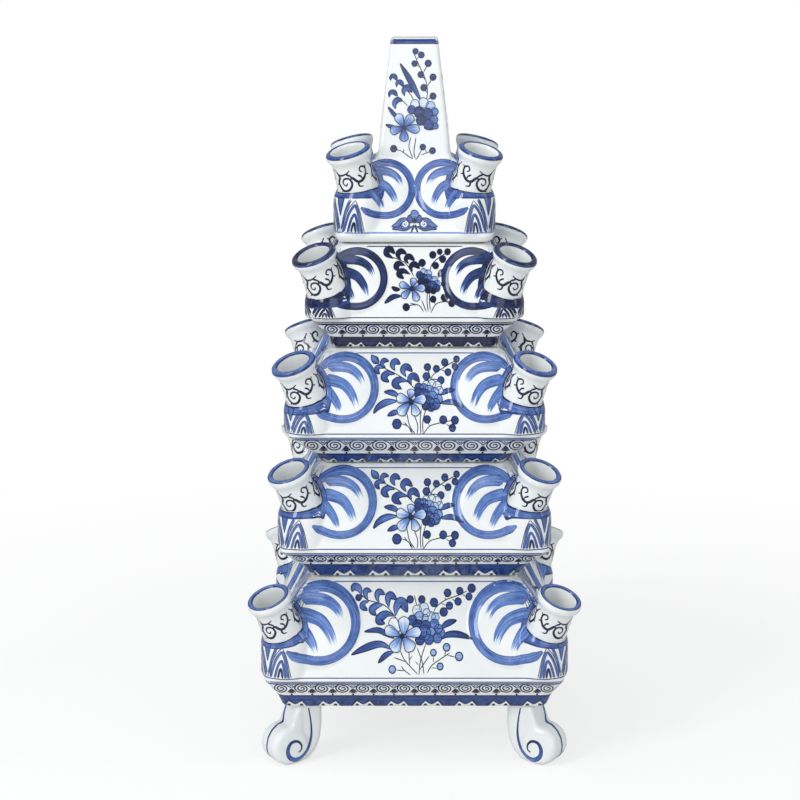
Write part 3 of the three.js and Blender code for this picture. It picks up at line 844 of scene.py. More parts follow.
# Sprays, each drawn on its own grid. Stems and twigs are rows of points. Hooks, leaves and petals start with
# their half width and tone, petals with the tone of their tip too. The rest are dabs: place, radius and tone.
WIDE_SPRAY = dict(
    stems=[
        (640, 450, 600, 380, 520, 290, 430, 245, 310, 215, 230, 150),
        (1030, 350, 1060, 290, 1160, 215, 1300, 165, 1400, 115), (820, 160, 850, 290),
        (850, 290, 890, 240), (1160, 215, 1165, 180), (1345, 150, 1390, 180), (1230, 200, 1275, 230),
        (1110, 250, 1170, 270), (1030, 350, 1100, 355), (665, 750, 720, 860, 860, 1005),
        (595, 825, 725, 870), (760, 760, 770, 905), (800, 805, 770, 845), (675, 910, 715, 965, 785, 1012),
        (715, 965, 625, 958), (850, 720, 905, 870, 925, 1005), (945, 680, 890, 850, 870, 1010),
        (830, 865, 870, 910), (985, 805, 880, 955), (960, 995, 1010, 910, 1140, 820, 1210, 775),
        (1000, 935, 1065, 938), (1030, 880, 1028, 810), (1150, 810, 1165, 750), (1180, 800, 1265, 822),
    ],
    hooks=[
        (36, 0.5, 240, 165, 215, 95, 160, 70, 135, 125),
        (26, 0.48, 312, 215, 285, 165, 290, 110, 352, 122),
        (30, 0.5, 435, 240, 410, 185, 430, 125, 500, 155),
        (36, 0.52, 542, 295, 530, 215, 555, 160, 628, 212),
        (48, 0.5, 615, 385, 625, 290, 680, 235, 745, 348), (34, 0.8, 250, 180, 205, 190, 175, 205),
        (28, 0.55, 322, 228, 265, 245, 250, 285, 308, 326),
        (36, 0.5, 482, 262, 395, 280, 355, 325, 402, 382),
        (42, 0.55, 602, 385, 520, 362, 455, 395, 432, 440, 500, 468),
    ],
    leaves=[
        (26, 0.55, 600, 625, 510, 575, 420, 535, 270, 552),
        (36, 0.55, 570, 740, 480, 690, 390, 690, 250, 740, 130, 798),
        (26, 0.58, 600, 760, 510, 800, 425, 885), (30, 0.6, 1110, 520, 1180, 465, 1285, 430),
        (32, 0.62, 1090, 640, 1180, 585, 1300, 580, 1460, 625),
    ],
    dark=[
        (1450, 88, 46), (1320, 118, 40), (1185, 138, 42), (1420, 178, 38), (1300, 230, 40),
        (1205, 275, 40), (1035, 240, 46), (1142, 342, 46), (775, 208, 40), (902, 208, 40),
    ],
    pale=[
        (580, 952, 42), (1028, 775, 36), (1172, 718, 42), (1308, 815, 46), (1100, 920, 38),
    ],
    bloom=[
        (850, 325, 52, 0.08), (925, 300, 52, 0.1), (1000, 395, 52, 0.15), (1050, 400, 44, 0.2),
        (955, 350, 40, 0.12), (870, 390, 50, 0.3), (940, 405, 36, 0.2), (800, 430, 52, 0.68),
        (860, 490, 62, 0.78), (945, 490, 56, 0.72), (1040, 470, 50, 0.5), (1085, 520, 44, 0.5),
        (1110, 565, 46, 0.5), (1070, 620, 50, 0.55), (1000, 560, 50, 0.45), (930, 565, 72, 0.6),
        (880, 640, 52, 0.75), (980, 635, 52, 0.6),
    ],
    petals=[
        (52, 0.05, 0.0, 655, 545, 600, 470, 560, 415), (62, 0.42, 0.0, 700, 585, 705, 490, 712, 392),
        (56, 0.5, 0.02, 655, 590, 585, 560, 500, 515), (54, 0.45, 0.03, 725, 590, 800, 565, 895, 552),
        (64, 0.55, 0.02, 670, 620, 630, 680, 585, 765), (64, 0.5, 0.02, 705, 620, 750, 680, 800, 758),
    ],
    heart=(687, 600, 28),
)
SMALL_SPRAY = dict(
    stems=[
        (348, 236, 300, 190, 240, 152, 180, 122, 128, 82),
        (402, 220, 436, 190, 452, 160, 500, 126, 548, 96, 586, 74), (470, 126, 486, 138),
        (517, 92, 540, 102), (574, 112, 556, 94), (534, 146, 496, 130), (414, 168, 428, 196),
        (420, 118, 432, 160, 440, 184), (495, 190, 448, 184, 430, 200), (306, 372, 320, 440, 352, 488),
        (346, 384, 366, 440, 362, 490), (386, 350, 380, 420, 384, 490), (412, 350, 394, 420, 396, 490),
        (272, 430, 312, 446, 340, 486), (312, 446, 288, 420), (396, 490, 430, 446, 476, 430, 562, 412),
        (418, 410, 432, 444), (507, 412, 498, 432), (522, 432, 558, 456), (318, 452, 332, 486),
    ],
    hooks=[
        (19, 0.5, 108, 46, 116, 62, 132, 80, 150, 92), (12, 0.55, 186, 120, 166, 100, 178, 78, 206, 84),
        (13, 0.58, 176, 124, 150, 114, 136, 132, 153, 157),
        (16, 0.55, 240, 138, 224, 106, 242, 84, 269, 101),
        (17, 0.58, 238, 158, 200, 150, 176, 174, 206, 201),
        (17, 0.58, 302, 172, 282, 136, 304, 114, 337, 142),
        (18, 0.62, 314, 196, 262, 188, 238, 212, 276, 240),
        (17, 0.6, 332, 216, 320, 184, 345, 166, 377, 201),
    ],
    leaves=[
        (14, 0.52, 264, 282, 224, 260, 178, 255), (17, 0.5, 252, 306, 195, 312, 148, 338, 119, 376),
        (13, 0.52, 270, 364, 236, 370, 197, 388), (13, 0.55, 486, 272, 526, 250, 574, 238),
        (14, 0.58, 492, 318, 548, 310, 584, 318, 622, 334),
    ],
    dark=[
        (420, 117, 20), (470, 126, 19), (517, 90, 20), (583, 72, 18), (574, 113, 18), (535, 145, 19),
        (414, 168, 21), (495, 190, 20), (250, 433, 27), (418, 408, 21), (507, 410, 22), (572, 412, 22),
        (558, 455, 20),
    ],
    pale=[],
    bloom=[
        (413, 216, 22, 0.05), (444, 212, 23, 0.04), (474, 222, 24, 0.05), (488, 246, 20, 0.12),
        (372, 234, 26, 0.72), (400, 234, 24, 0.5), (430, 246, 26, 0.36), (460, 256, 24, 0.28),
        (372, 262, 28, 0.8), (404, 270, 30, 0.7), (446, 282, 30, 0.5), (480, 296, 24, 0.4),
        (424, 312, 32, 0.66), (462, 322, 30, 0.55), (440, 341, 22, 0.7), (410, 334, 22, 0.78),
    ],
    petals=[
        (22, 0.62, 0.1, 324, 292, 328, 266, 330, 240), (26, 0.55, 0.0, 318, 302, 282, 294, 248, 284),
        (28, 0.6, 0.02, 318, 322, 288, 350, 262, 384), (24, 0.55, 0.02, 334, 322, 350, 352, 358, 390),
        (26, 0.6, 0.0, 344, 306, 380, 298, 413, 298),
    ],
    heart=(328, 312, 16),
)
TOP_SPRAY = dict(
    stems=[
        (338, 242, 288, 160, 238, 130, 192, 114), (440, 206, 456, 160, 492, 124, 548, 88),
        (390, 174, 404, 196, 424, 206), (478, 170, 458, 162), (503, 92, 512, 106),
        (400, 470, 372, 430, 310, 414), (288, 440, 330, 424, 350, 430), (418, 472, 398, 420, 386, 392),
        (425, 345, 422, 400, 430, 470), (440, 345, 438, 400, 444, 462), (446, 478, 486, 416, 572, 400),
        (462, 390, 478, 424), (582, 414, 546, 408), (535, 380, 520, 408),
    ],
    hooks=[
        (20, 0.6, 204, 124, 158, 92, 178, 60, 214, 94), (17, 0.62, 252, 134, 232, 100, 254, 76, 290, 94),
        (17, 0.66, 302, 158, 284, 130, 306, 110, 342, 137),
        (18, 0.66, 280, 170, 238, 156, 222, 180, 242, 205),
        (17, 0.66, 328, 210, 316, 180, 340, 160, 375, 190),
        (18, 0.66, 313, 226, 264, 204, 240, 228, 272, 255),
    ],
    leaves=[
        (13, 0.68, 248, 324, 220, 324, 192, 308), (15, 0.6, 256, 368, 200, 374, 146, 416),
        (18, 0.62, 496, 246, 518, 214, 548, 196), (12, 0.7, 506, 292, 528, 288, 548, 276),
    ],
    dark=[
        (390, 152, 24), (460, 100, 23), (505, 80, 18), (556, 80, 21), (524, 128, 23), (478, 170, 22),
        (287, 440, 24), (462, 389, 21), (535, 378, 24), (582, 415, 22),
    ],
    pale=[],
    bloom=[
        (400, 214, 24, 0.0), (430, 222, 24, 0.05), (374, 232, 24, 0.6), (396, 250, 28, 0.66),
        (430, 254, 28, 0.35), (470, 264, 24, 0.1), (490, 290, 24, 0.2), (386, 276, 26, 0.8),
        (416, 286, 30, 0.72), (456, 300, 30, 0.5), (484, 316, 24, 0.6), (430, 326, 24, 0.9),
        (462, 334, 20, 0.9),
    ],
    petals=[
        (22, 0.5, 0.14, 326, 308, 332, 282, 340, 252), (22, 0.5, 0.14, 312, 316, 278, 302, 243, 290),
        (22, 0.5, 0.12, 312, 330, 286, 352, 260, 380), (24, 0.5, 0.12, 330, 332, 346, 362, 358, 402),
        (24, 0.5, 0.1, 340, 320, 374, 316, 412, 320),
    ],
    heart=(324, 320, 17),
)

# For each tier its spray, the grid's middle line and millimetres a step across, then a row of the grid,
# millimetres a step up and that row's height above the lip
SPRAYS = {
    "tier_1": (WIDE_SPRAY, 822, 0.0733, 560, 0.068, 33.8),
    "tier_2": (SMALL_SPRAY, 348, 0.1435, 490, 0.1306, 0.9),
    "tier_3": (SMALL_SPRAY, 348, 0.1426, 489, 0.1322, 0.9),
    "tier_4": (TOP_SPRAY, 341, 0.122, 508, 0.1168, 0.9),
}


def spray(brush, tier, deep):
    """The flower spray: two boughs, long leaves, a shaded bloom, an open flower and stems with berries."""
    plan, middle, scale, row, rise, height = SPRAYS[tier["name"]]

    def at(x, y):
        return (x - middle) * scale, tier["lip_top"] + height + (row - y) * rise

    def path(numbers):
        return [at(x, y) for x, y in pairs(numbers)]

    for numbers in plan["stems"]:
        brush.stroke(path(numbers), 0.36, INK, step=2.0)
    for width, tone, *numbers in plan["hooks"]:
        brush.stroke(path(numbers), width * scale, tone + deep - 0.1, "comma", lift=1, rim=0.26, step=1.1,
                     end_tone=tone + deep + 0.16)
    for width, tone, *numbers in plan["leaves"]:
        brush.stroke(path(numbers), width * scale, tone + deep - 0.08, "leaf", lift=1, rim=0.27,
                     end_tone=tone + 0.3)
    for x, y, radius in plan["dark"]:
        brush.dab(*at(x, y), radius * scale * 0.94, 0.74 + deep)
    for x, y, radius in plan["pale"]:
        brush.dab(*at(x, y), radius * scale * 0.9, 0.3 + deep, rim=0.38)
    for i, (x, y, radius, tone) in enumerate(plan["bloom"]):
        brush.dab(*at(x, y), radius * scale, tone + deep * 0.6, rim=0.22, lift=2 + i * 0.35)
    for i, (width, tone, tip, *numbers) in enumerate(plan["petals"]):
        brush.stroke(path(numbers), width * scale, tone + deep * 0.5, "petal", lift=9 + i * 0.5, end_tone=tip,
                     rim=0.26, step=1.1)
    x, y, radius = plan["heart"]
    brush.stroke([at(x - radius, y), at(x, y), at(x + radius, y)], radius * scale, INK, "disc", lift=13,
                 columns=3, step=0.8)


# The three feathered strokes on a roundel: half width, then points from the collar outwards
FANS = [
    (0.15, -0.5, 0.62, -0.2, 0.63, 0.14, 0.57, 0.41, 0.38, 0.6, 0.0),
    (0.165, -0.6, 0.26, -0.3, 0.22, 0.0, 0.1, 0.2, -0.14, 0.3, -0.38, 0.37, -0.66),
    (0.14, -0.56, 0.02, -0.34, -0.24, -0.2, -0.47, -0.1, -0.76),
]


def roundel_ring(brush, tier, side, deep):
    """The brushed ring on a roundel and the three feathered strokes that fan out of the spout's collar."""
    across, height, radius, _ = tier["roundel"]
    cx, cz, r = across - 0.14 * radius, height + 0.04 * radius, radius * 0.8
    outer = r * 1.105

    def at(x, y):
        return side * (cx - x * outer), cz + y * outer * 0.97

    ring = []
    for i in range(25):
        angle = math.radians(146 - i * 292 / 24)
        grow = 0.9 + 0.14 * max(0, (i - 19) / 5) ** 2
        ring.append(at(grow * math.cos(angle), grow * math.sin(angle)))
    brush.stroke(ring, radius * 0.107, 0.5 + deep, "even", columns=6, step=1.8)
    for width, *numbers in FANS:
        brush.stroke([at(x, y) for x, y in pairs(numbers)], width * outer, 0.5 + deep, "drawn", dry=1.0,
                     lift=1, columns=6, step=1.6, end_tone=0.4 + deep)


def border_bands(brush, tier, deep):
    """The scrolled band on the bevel, the swags on the foot and the lines between them."""
    waist, rim, low, high = tier["waist"], tier["rim"], tier["waist_z"], tier["lip_z"]
    lines = [(rim - 0.8, tier["lip_top"] + 0.9, 0.42, 0.72), (rim - 0.4, high + 0.35, 0.4, 0.86),
             (rim - 1.6, high - 1.4, 0.85, 0.56), (waist - 0.6, low - 0.5, 0.6, INK)]
    for half, height, width, tone in lines:
        brush.level(half, height, width, tone + deep, step=1.5)
    rise = high - low
    middle = low + rise * 0.54
    span = waist + rim - 1
    count = round(span / SCROLL_PITCH.get(tier["name"], 16.4))
    pitch = span / count
    for i in range(count):
        x = -span / 2 + pitch * (i + 0.5)
        brush.ring(x, middle, pitch * 0.39, rise * 0.385, 0.58, 1.0, turns=2.6, shrink=0.93,
                   start=math.pi * 0.2)
        if i:
            scroll_joint(brush, x - pitch / 2, low, middle, high)
    swags(brush, tier, deep * 0.6)


def scroll_joint(brush, joint, low, middle, high):
    """Between two scrolls of a band: nested vees above, then two legs, a dark wedge and a dot below."""
    for depth in (0.0, 1.8):
        for side in (-1, 1):
            arm = [(joint + side * (3.9 - depth * 1.3), high - 2.6), (joint, middle + 0.4 + depth)]
            brush.stroke(arm, 0.5, 1.0, step=1.2)
    for side in (-1, 1):
        brush.stroke([(joint, middle - 0.2), (joint + side * 3.3, low + 2.9)], 0.6, 1.0, step=1.2)
    brush.stroke([(joint, low + 2.5), (joint, middle - 0.8)], 2.2, 1.0, "point", lift=1, columns=3, step=0.7)
    brush.dab(joint, low + 1.1, 0.95, 1.0, rim=0)


# Spacing of the scrolls where it isn't the usual one, and of the swags along each foot, with whether a
# narrow one hangs in the middle
SCROLL_PITCH = {"tier_3": 17.4}
SWAGS = {"tier_1": (27.4, False), "tier_2": (28.4, True), "tier_3": (23.0, True), "tier_4": (23.5, True)}


def swags(brush, tier, deep):
    """Blue swags that hang from the waist line, wide and narrow in turn, with a dot under each joint."""
    top = tier["waist_z"] - 0.9
    drop = top - tier["base"]
    limit = tier["foot"] - 1.2
    pitch, narrow_middle = SWAGS[tier["name"]]
    narrow = pitch * 0.182
    brush.level(tier["waist"] - 0.6, top - drop * 0.23, drop * 0.25, 0.76 + deep, columns=3, step=1.5)
    for k in range(-9, 10):
        centre = k * pitch / 2
        is_narrow = (k % 2 == 0) == narrow_middle
        half, depth, form = (narrow, 0.78, "point") if is_narrow else (pitch / 2 - narrow, 0.97, "swag")
        if abs(centre) - half > limit:
            continue
        start, fall = top - drop * 0.42, drop * (depth - 0.42)
        path = [(centre, start), (centre, start - fall / 2), (centre, start - fall)]
        brush.stroke(path, half, 0.72 + deep, form, columns=12, step=0.6, end_tone=0.82 + deep, lift=1)
        for side in (-1, 1):
            flank = [(centre + side * half * FORMS[form](j / 8), start - fall * j / 8) for j in range(9)]
            brush.stroke(flank, 0.34, INK, lift=2, step=0.8)
            joint = centre + side * half
            seam = [(joint, start), (joint - side * 0.7, top - drop * 0.2)]
            brush.stroke(seam, 0.26, 0.95, lift=2, step=1.0)
            if is_narrow and abs(joint) < limit:
                brush.dab(joint, tier["base"] + drop * 0.14, 1.5, INK, rim=0, lift=2)


# The nested arches on a knuckle: inner foot, crown, outer foot, height as a share, half width, tone, and
# whether they take the tier's depth of blue
ARCHES = [(0.3, 13.6, 20.6, 1.0, 0.34, 0.85, 0), (3.0, 13.4, 18.4, 0.88, 1.1, 0.54, 1),
          (7.0, 13.0, 15.9, 0.6, 1.0, 0.56, 1), (9.8, 12.4, 13.6, 0.34, 0.9, 0.9, 0)]


def arch(brush, side, low, rise, row, deep):
    """One arch of two strokes. The broad pale ones get a thin dark edge."""
    inner, apex, outer, top, width, tone, takes_depth = row
    tone += deep * takes_depth
    for foot in (inner, outer):
        path = [(side * apex, low + rise * top), (side * (foot * 0.5 + apex * 0.5), low + rise * top * 0.66),
                (side * foot, low)]
        brush.stroke(path, width, tone, "even", step=1.6)
        if width > 0.5 and tone < 0.85:
            edge = [(a + (width if foot == outer else -width) * side * 0.9, b) for a, b in path]
            brush.stroke(edge, 0.22, 0.93, lift=1, step=1.6)


def corner_arches(brush, tier, deep):
    """Nested arches on both flanks of the knuckle with a small vee between them on the corner."""
    low = tier["lip_top"] + 1.6
    high = tier["seam"][1] - COLLARS[tier["name"]][1]
    rise = high - low
    for side in (-1, 1):
        for row in ARCHES:
            arch(brush, side, low, rise, row, deep)
        inner = [(side * 9.4, high + 1.0), (side * 4.6, low + rise * 0.62), (side * 0.8, low + 2.6)]
        brush.stroke(inner, 1.0, 0.56 + deep, "even")
        outer = [(side * 10.6, high + 0.6), (side * 6.0, low + rise * 0.6), (side * 2.2, low + 2.0)]
        brush.stroke(outer, 0.22, 0.93, lift=1)
    drop = [(0, high + 1.6), (0, low + rise * 0.8), (0, low + rise * 0.5)]
    brush.stroke(drop, 3.7, 0.56 + deep, "point", lift=1, rim=0.24)


def collar(brush, deep):
    """The blue band that hides the luted seam of a spout."""
    brush.ring(0, 0, 19.3, 19.3, 2.3, 0.56 + deep, step=2.0)
    brush.ring(0, 0, 17.5, 17.5, 0.4, 0.96, lift=1, step=1.6)
    brush.ring(0, 0, 21.4, 21.4, 0.3, 0.8, lift=1, step=1.6)


# Dry streaks beside the hip: inset, where they start and end as shares of the height, half width and tone
STREAKS = [(1.6, 0.0, 0.8, 0.5, 0.95), (3.4, 0.15, 1.0, 0.35, 0.8), (5.2, 0.0, 0.7, 0.45, 0.9),
           (7.4, 0.3, 1.0, 0.35, 0.75)]


def hip_streaks(brush, tier):
    """Short dry strokes beside the hip above the spout."""
    slope = face_slope(tier)
    low = tier["seam"][1] + 1
    high = tier["top_z"] - 1.5
    for side in (-1, 1):
        for inset, start, end, width, tone in STREAKS:
            path = []
            for share in (start, (start + end) / 2, end):
                z = low + (high - low) * share
                path.append((side * (tier["rim"] - (z - tier["lip_top"]) * slope + 5.5 - inset), z))
            brush.stroke(path, width, tone, "drawn", dry=0.8, step=2.0)


def cloud_scroll(brush, side, base):
    """Half of the lotus: a long leaf, a curled cloud with a white spiral in it, a stalk and a side petal."""
    def at(*numbers):
        return [(side * x, base + y) for x, y in pairs(numbers)]

    brush.stroke(at(2.0, 3.6, 7.0, 2.0, 12.4, 2.4, 18.0, 1.6), 1.7, 0.68, "leaf", rim=0.26, lift=1, step=1.0)
    brush.dab(side * 7.6, base + 5.6, 3.9, 0.5, rim=0.28, lift=2)
    brush.stroke(at(2.6, 6.0, 6.0, 8.6, 10.2, 8.0, 13.6, 5.2, 18.4, 3.4), 1.9, 0.6, "comma", rim=0.28, lift=3,
                 step=1.0)
    brush.ring(side * 7.6, base + 5.4, 2.5, 2.2, 0.4, -0.4, turns=1.4 * side, shrink=0.7, start=math.pi / 2,
               lift=5, step=0.8)
    brush.stroke(at(0.6, 5.0, 1.3, 2.4, 2.6, -0.8), 1.0, 0.94, "drawn", lift=4, step=1.0)
    brush.dab(side * 3.0, base + 9.4, 3.0, 0.7, rim=0.28, lift=6)


def lotus(brush, base):
    """The small lotus between two cloud scrolls at the foot of the highest tier."""
    for side in (-1, 1):
        cloud_scroll(brush, side, base)
    brush.dab(0, base + 8.4, 2.2, 0.85, rim=0.28, lift=7)
    brush.dab(0, base + 12.6, 3.3, 0.55, rim=0.28, lift=8)


# The obelisk's grid: its middle line and highest row with that row's height, and the scales across and up
OBELISK_GRID = (414.5, 37.0, 579.2, 0.80, 0.79)
OBELISK_TWIGS = [
    (413.5, 52, 418.5, 64, 425, 78, 427.5, 90, 426.5, 101), (421, 55, 416.5, 59), (414.5, 63.5, 419.5, 67),
    (428, 64, 423, 73), (421, 74.5, 425.5, 80), (433, 77, 427.5, 86), (424, 87.5, 427.3, 93),
    (433, 96, 427, 100), (397, 80.5, 403.5, 86.8, 411, 95, 414, 101), (397.4, 96, 402.6, 100.6, 408, 106),
    (411, 137, 409, 147, 413, 159), (416, 137, 414, 152, 415.5, 159), (400, 150, 409, 156.5, 413, 159),
    (393.6, 148.6, 401, 151), (403.5, 152.5, 404, 149), (422.8, 147, 419, 155, 415.5, 160),
    (432.5, 150.6, 421, 155), (427, 153, 425, 149),
]
OBELISK_HOOKS = [
    (2.1, 390.5, 80.5, 390.8, 77.0, 394.4, 75.8, 397.0, 80.5),
    (2.1, 396.5, 87.0, 397.0, 83.0, 400.4, 81.8, 403.5, 86.8),
    (2.9, 404.6, 96.0, 403.6, 90.6, 407.4, 87.2, 412.0, 92.4),
    (2.3, 389.0, 97.2, 389.8, 93.2, 393.6, 91.8, 397.4, 96.0),
    (2.7, 395.6, 109.0, 394.4, 103.6, 397.6, 99.6, 402.6, 100.6),
]
OBELISK_BERRIES = [
    (415.5, 51.2, 2.9), (421.3, 54.8, 3.1), (414.5, 63.5, 2.9), (428.2, 63.2, 3.3), (420.8, 74.5, 3.1),
    (433, 77, 3.3), (423.8, 87.5, 3.3), (433, 96, 3.3), (393.6, 148.6, 3.4), (422.8, 147, 3.0),
    (432.5, 150.6, 3.2),
]
OBELISK_BLOOM = [
    (415, 104, 4.6, 0.1), (423.5, 102.5, 5.0, 0.12), (430.5, 106, 4.8, 0.25), (434.5, 111.5, 4.0, 0.45),
    (411.5, 109.5, 4.2, 0.6), (419, 112, 5.6, 0.75), (427.5, 113.5, 5.6, 0.7), (433.5, 119.5, 4.6, 0.55),
    (421, 120, 5.2, 0.75), (428.5, 124.5, 5.2, 0.66), (435.5, 126, 3.0, 0.55),
]
OBELISK_PETALS = [
    (0.06, -6.5, -13.5), (0.12, 9.0, -12.0), (0.2, 16.0, 2.0), (0.3, -13.5, 4.0), (0.35, 0.5, 14.0),
]
OBELISK_LEAVES = [(399, 120, 393, 113, 388, 106.5), (397, 128, 391, 126.5, 385.5, 124.5),
                  (424, 128, 431, 128, 438, 126)]


def obelisk_spray(brush):
    """Berries and a small spray on each face of the obelisk."""
    middle, first_row, height, scale, rise = OBELISK_GRID

    def at(x, y):
        return (x - middle) * scale, height - (y - first_row) * rise

    def path(*numbers):
        return [at(x, y) for x, y in pairs(numbers)]

    for numbers in OBELISK_TWIGS:
        brush.stroke(path(*numbers), 0.36, INK, step=2)
    for x, y, radius in OBELISK_BERRIES:
        brush.dab(*at(x, y), radius * 0.8, 0.86, rim=0.25)
    brush.stroke(path(421, 101, 411, 82, 400, 63), 2.2, 0.66, "leaf", rim=0.26, lift=1, end_tone=0.9)
    for width, *numbers in OBELISK_HOOKS:
        brush.stroke(path(*numbers), width * 0.8, 0.62, "comma", rim=0.24, lift=2, step=1.0, end_tone=0.84)
    for numbers in OBELISK_LEAVES:
        brush.stroke(path(*numbers), 1.5, 0.8, "leaf", rim=0.24, lift=1)
    for i, (x, y, radius, tone) in enumerate(OBELISK_BLOOM):
        brush.dab(*at(x, y), radius * 0.8, tone * 1.12, rim=0.22, lift=3 + i * 0.4)
    for i, (tip, dx, dy) in enumerate(OBELISK_PETALS):
        petal = [at(403.6 + dx * share, 127.4 + dy * share) for share in (0.1, 0.5, 1.0)]
        brush.stroke(petal, 3.6, 0.74, "petal", lift=9 + i * 0.4, end_tone=tip, rim=0.26, step=1.0)
    brush.stroke(path(401, 127.4, 403.6, 127.4, 406.2, 127.4), 1.5, 0.95, "disc", lift=13, columns=3)


def obelisk_band(brush):
    """The blue band under the cut-off top."""
    half, height = OBELISK_TOP[0] - 0.3, OBELISK_TOP[1] - 2.8
    brush.level(half, height, 1.9, 0.78, step=0.8, columns=3)
    brush.level(half, height - 1.8, 0.3, 0.95, lift=1, step=0.8)


def paint_tier(tier, skin, deep):
    """All the painting on a tier's body. One side is drawn and repeated on the other three."""
    painting = Painting()
    front = Brush(painting, front_ground(skin))
    if tier["name"] == "tier_5":
        base = tier["lip_top"] + 2.5
        front.level(tier["foot"] - 2, base - 1, 0.6, 0.4, step=1.5)
        lotus(front, base)
        obelisk_spray(front)
        obelisk_band(front)
    else:
        half = tier["roundel"][0] - 0.42 * tier["roundel"][2]
        below = 1.9 if tier["name"] == "tier_4" else 3.2
        front.level(half, tier["top_z"] - below, 0.38, 0.62 + deep, step=1.5)
        border_bands(front, tier, deep)
        spray(front, tier, deep)
    for side in (-1, 1):
        roundel_ring(front, tier, side, deep)
    hip_streaks(front, tier)
    corner_arches(Brush(painting, knuckle_ground(skin, tier)), tier, deep)
    collar(Brush(painting, collar_ground(skin, tier)), deep)
    painting.repeat(QUARTER_TURNS)
    return painting.film(tier["name"] + "_painting")


# The tendrils on a spout, round and up, each with its half width first
SCROLL = [
    (1.0, -10.4, 24.4, -7.6, 19.2, -9.8, 13.6, -6.2, 7.0, -0.6, 7.4, 2.8, 12.6,
     0.9, 17.4, -3.4, 17.4, -5.2, 13.6, -2.6, 11.4, -1.0, 13.6),
    (0.75, -10.4, 24.0, -6.6, 20.9, -0.9, 22.0, 3.2, 24.6), (0.8, -0.9, 21.8, 2.6, 19.6, 4.2, 16.6),
    (1.0, 1.6, 16.6, 4.2, 17.4, 7.8, 13.2, 12.2, 13.6, 16.4, 18.2, 16.8, 23.4,
     13.2, 25.6, 11.4, 22.6, 13.4, 20.4),
    (0.7, 7.8, 13.4, 8.2, 9.0, 11.2, 8.0), (0.7, 9.0, 19.0, 11.4, 16.8, 12.0, 13.8),
    (0.6, -10.4, 24.2, -12.2, 26.4), (0.6, -9.8, 13.6, -12.0, 11.6), (0.6, 16.6, 23.0, 18.6, 25.4),
    (0.6, -6.2, 7.2, -8.4, 5.2), (0.55, 16.4, 17.6, 19.0, 16.2),
]
TENDRIL_PITCH = 33.5


def spout_scrolls(brush, deep):
    """Scrolling tendrils round the neck of a spout."""
    for turn in range(3):
        for width, *numbers in SCROLL:
            path = [(turn * TENDRIL_PITCH - 7.5 - x, y * 0.9 + 0.4) for x, y in pairs(numbers)]
            brush.stroke(path, width * 1.15, 0.93 + deep, "drawn", step=0.9, columns=3)


# The blue ring on each tier's lips: its middle radius and half width
LIP_RINGS = {"tier_1": (15.3, 1.5), "tier_2": (15.5, 1.75), "tier_3": (15.7, 2.1), "tier_4": (15.7, 2.1),
             "tier_5": (16.1, 1.6)}


def lip_ring(brush, tier, deep):
    """The blue ring on the rolled lip, darker along both its edges."""
    middle, half = LIP_RINGS[tier["name"]]
    rows = [(middle, half, 0.55 + deep, 1, 10), (middle - half + 0.1, 0.3, 0.85, 4, 1),
            (middle + half - 0.1, 0.28, 0.8, 4, 1)]
    for radius, width, tone, lift, columns in rows:
        turns = [k * math.pi / 12 for k in range(25)]
        points = [(radius * math.cos(turn), radius * math.sin(turn)) for turn in turns]
        brush.stroke(points, width, tone, "loop", lift=lift, step=1.1, columns=columns)


def paint_spouts(tier, skin, deep):
    """The painting on a tier's four spouts. One is drawn and mirrored to the others."""
    painting = Painting()
    spout_scrolls(Brush(painting, spout_ground(skin, tier)), deep)
    lip_ring(Brush(painting, lip_ground(skin, tier)), tier, deep)
    painting.repeat(MIRROR_IMAGES)
    return painting.film(tier["name"] + "_spout_painting")


# The line down a side of the foot, out and up, and the one down its outer face, across and up
FOOT_COIL = [(13.4, 46), (11.4, 34), (11.2, 22), (14.4, 12.4), (20.0, 6.6), (26.4, 4.8), (32.0, 8.0),
             (33.4, 14.2), (30.4, 19.6), (24.8, 20.2), (21.2, 16.6), (21.4, 12.6), (23.8, 10.8)]
FOOT_RIM = [(8.2, 46), (7.6, 39), (5.4, 34.4), (1.6, 29.4), (0.2, 20), (1.4, 11), (4.0, 3.4)]


def paint_feet(skin):
    """A line down each side of the leg that winds into the coil, and one over the outer rim."""
    painting = Painting()
    for side in (-1, 1):
        brush = Brush(painting, foot_side_ground(skin, side))
        brush.stroke(FOOT_COIL, 1.9, 0.56, "swell", step=1.0, columns=4, end_tone=0.7)
        brush.stroke(FOOT_COIL[:4], 0.55, INK, "drawn", lift=1, step=1.2)
        brush.stroke(FOOT_COIL[-6:], 0.75, INK, "leaf", lift=1, step=0.8, columns=2)
    brush = Brush(painting, foot_rim_ground(skin))
    brush.stroke(FOOT_RIM, 1.15, 0.6, "even", step=1.0, columns=3, end_tone=0.7)
    brush.stroke(FOOT_RIM[1:5], 0.6, 0.95, "leaf", lift=1, step=1.0, columns=2)
    painting.repeat(MIRROR_IMAGES)
    return painting.film("foot_painting")


# Studio
LAMPS = [
    ("key_softbox", (-1.35, -1.55, 1.35), (0.55, 1.5), 21.5),
    ("front_fill", (0.5, -2.6, 0.75), (1.6, 1.6), 10),
    ("top_softbox", (-0.3, -0.5, 2.0), (1.4, 1.4), 9),
    ("rim_strip", (1.7, -0.3, 0.9), (0.3, 1.4), 3),
]
LAMPS_AIM = (0, 0, 0.28)
CAMERA_PLACE = (0, -1.872, 0.639)
CAMERA_DOWN = 10.85
CAMERA_LENS = 103.1
CAMERA_SHIFT = -0.0181
FLOOR_NEAR_END = 1.0
FLOOR_NEAR_FADE = 0.6


def seen_by_camera(tree):
    """One where the camera looks, straight or through glass."""
    path = add(tree, "ShaderNodeLightPath")
    return reckon(tree, "MAXIMUM", path.outputs["Is Camera Ray"], path.outputs["Is Transmission Ray"])


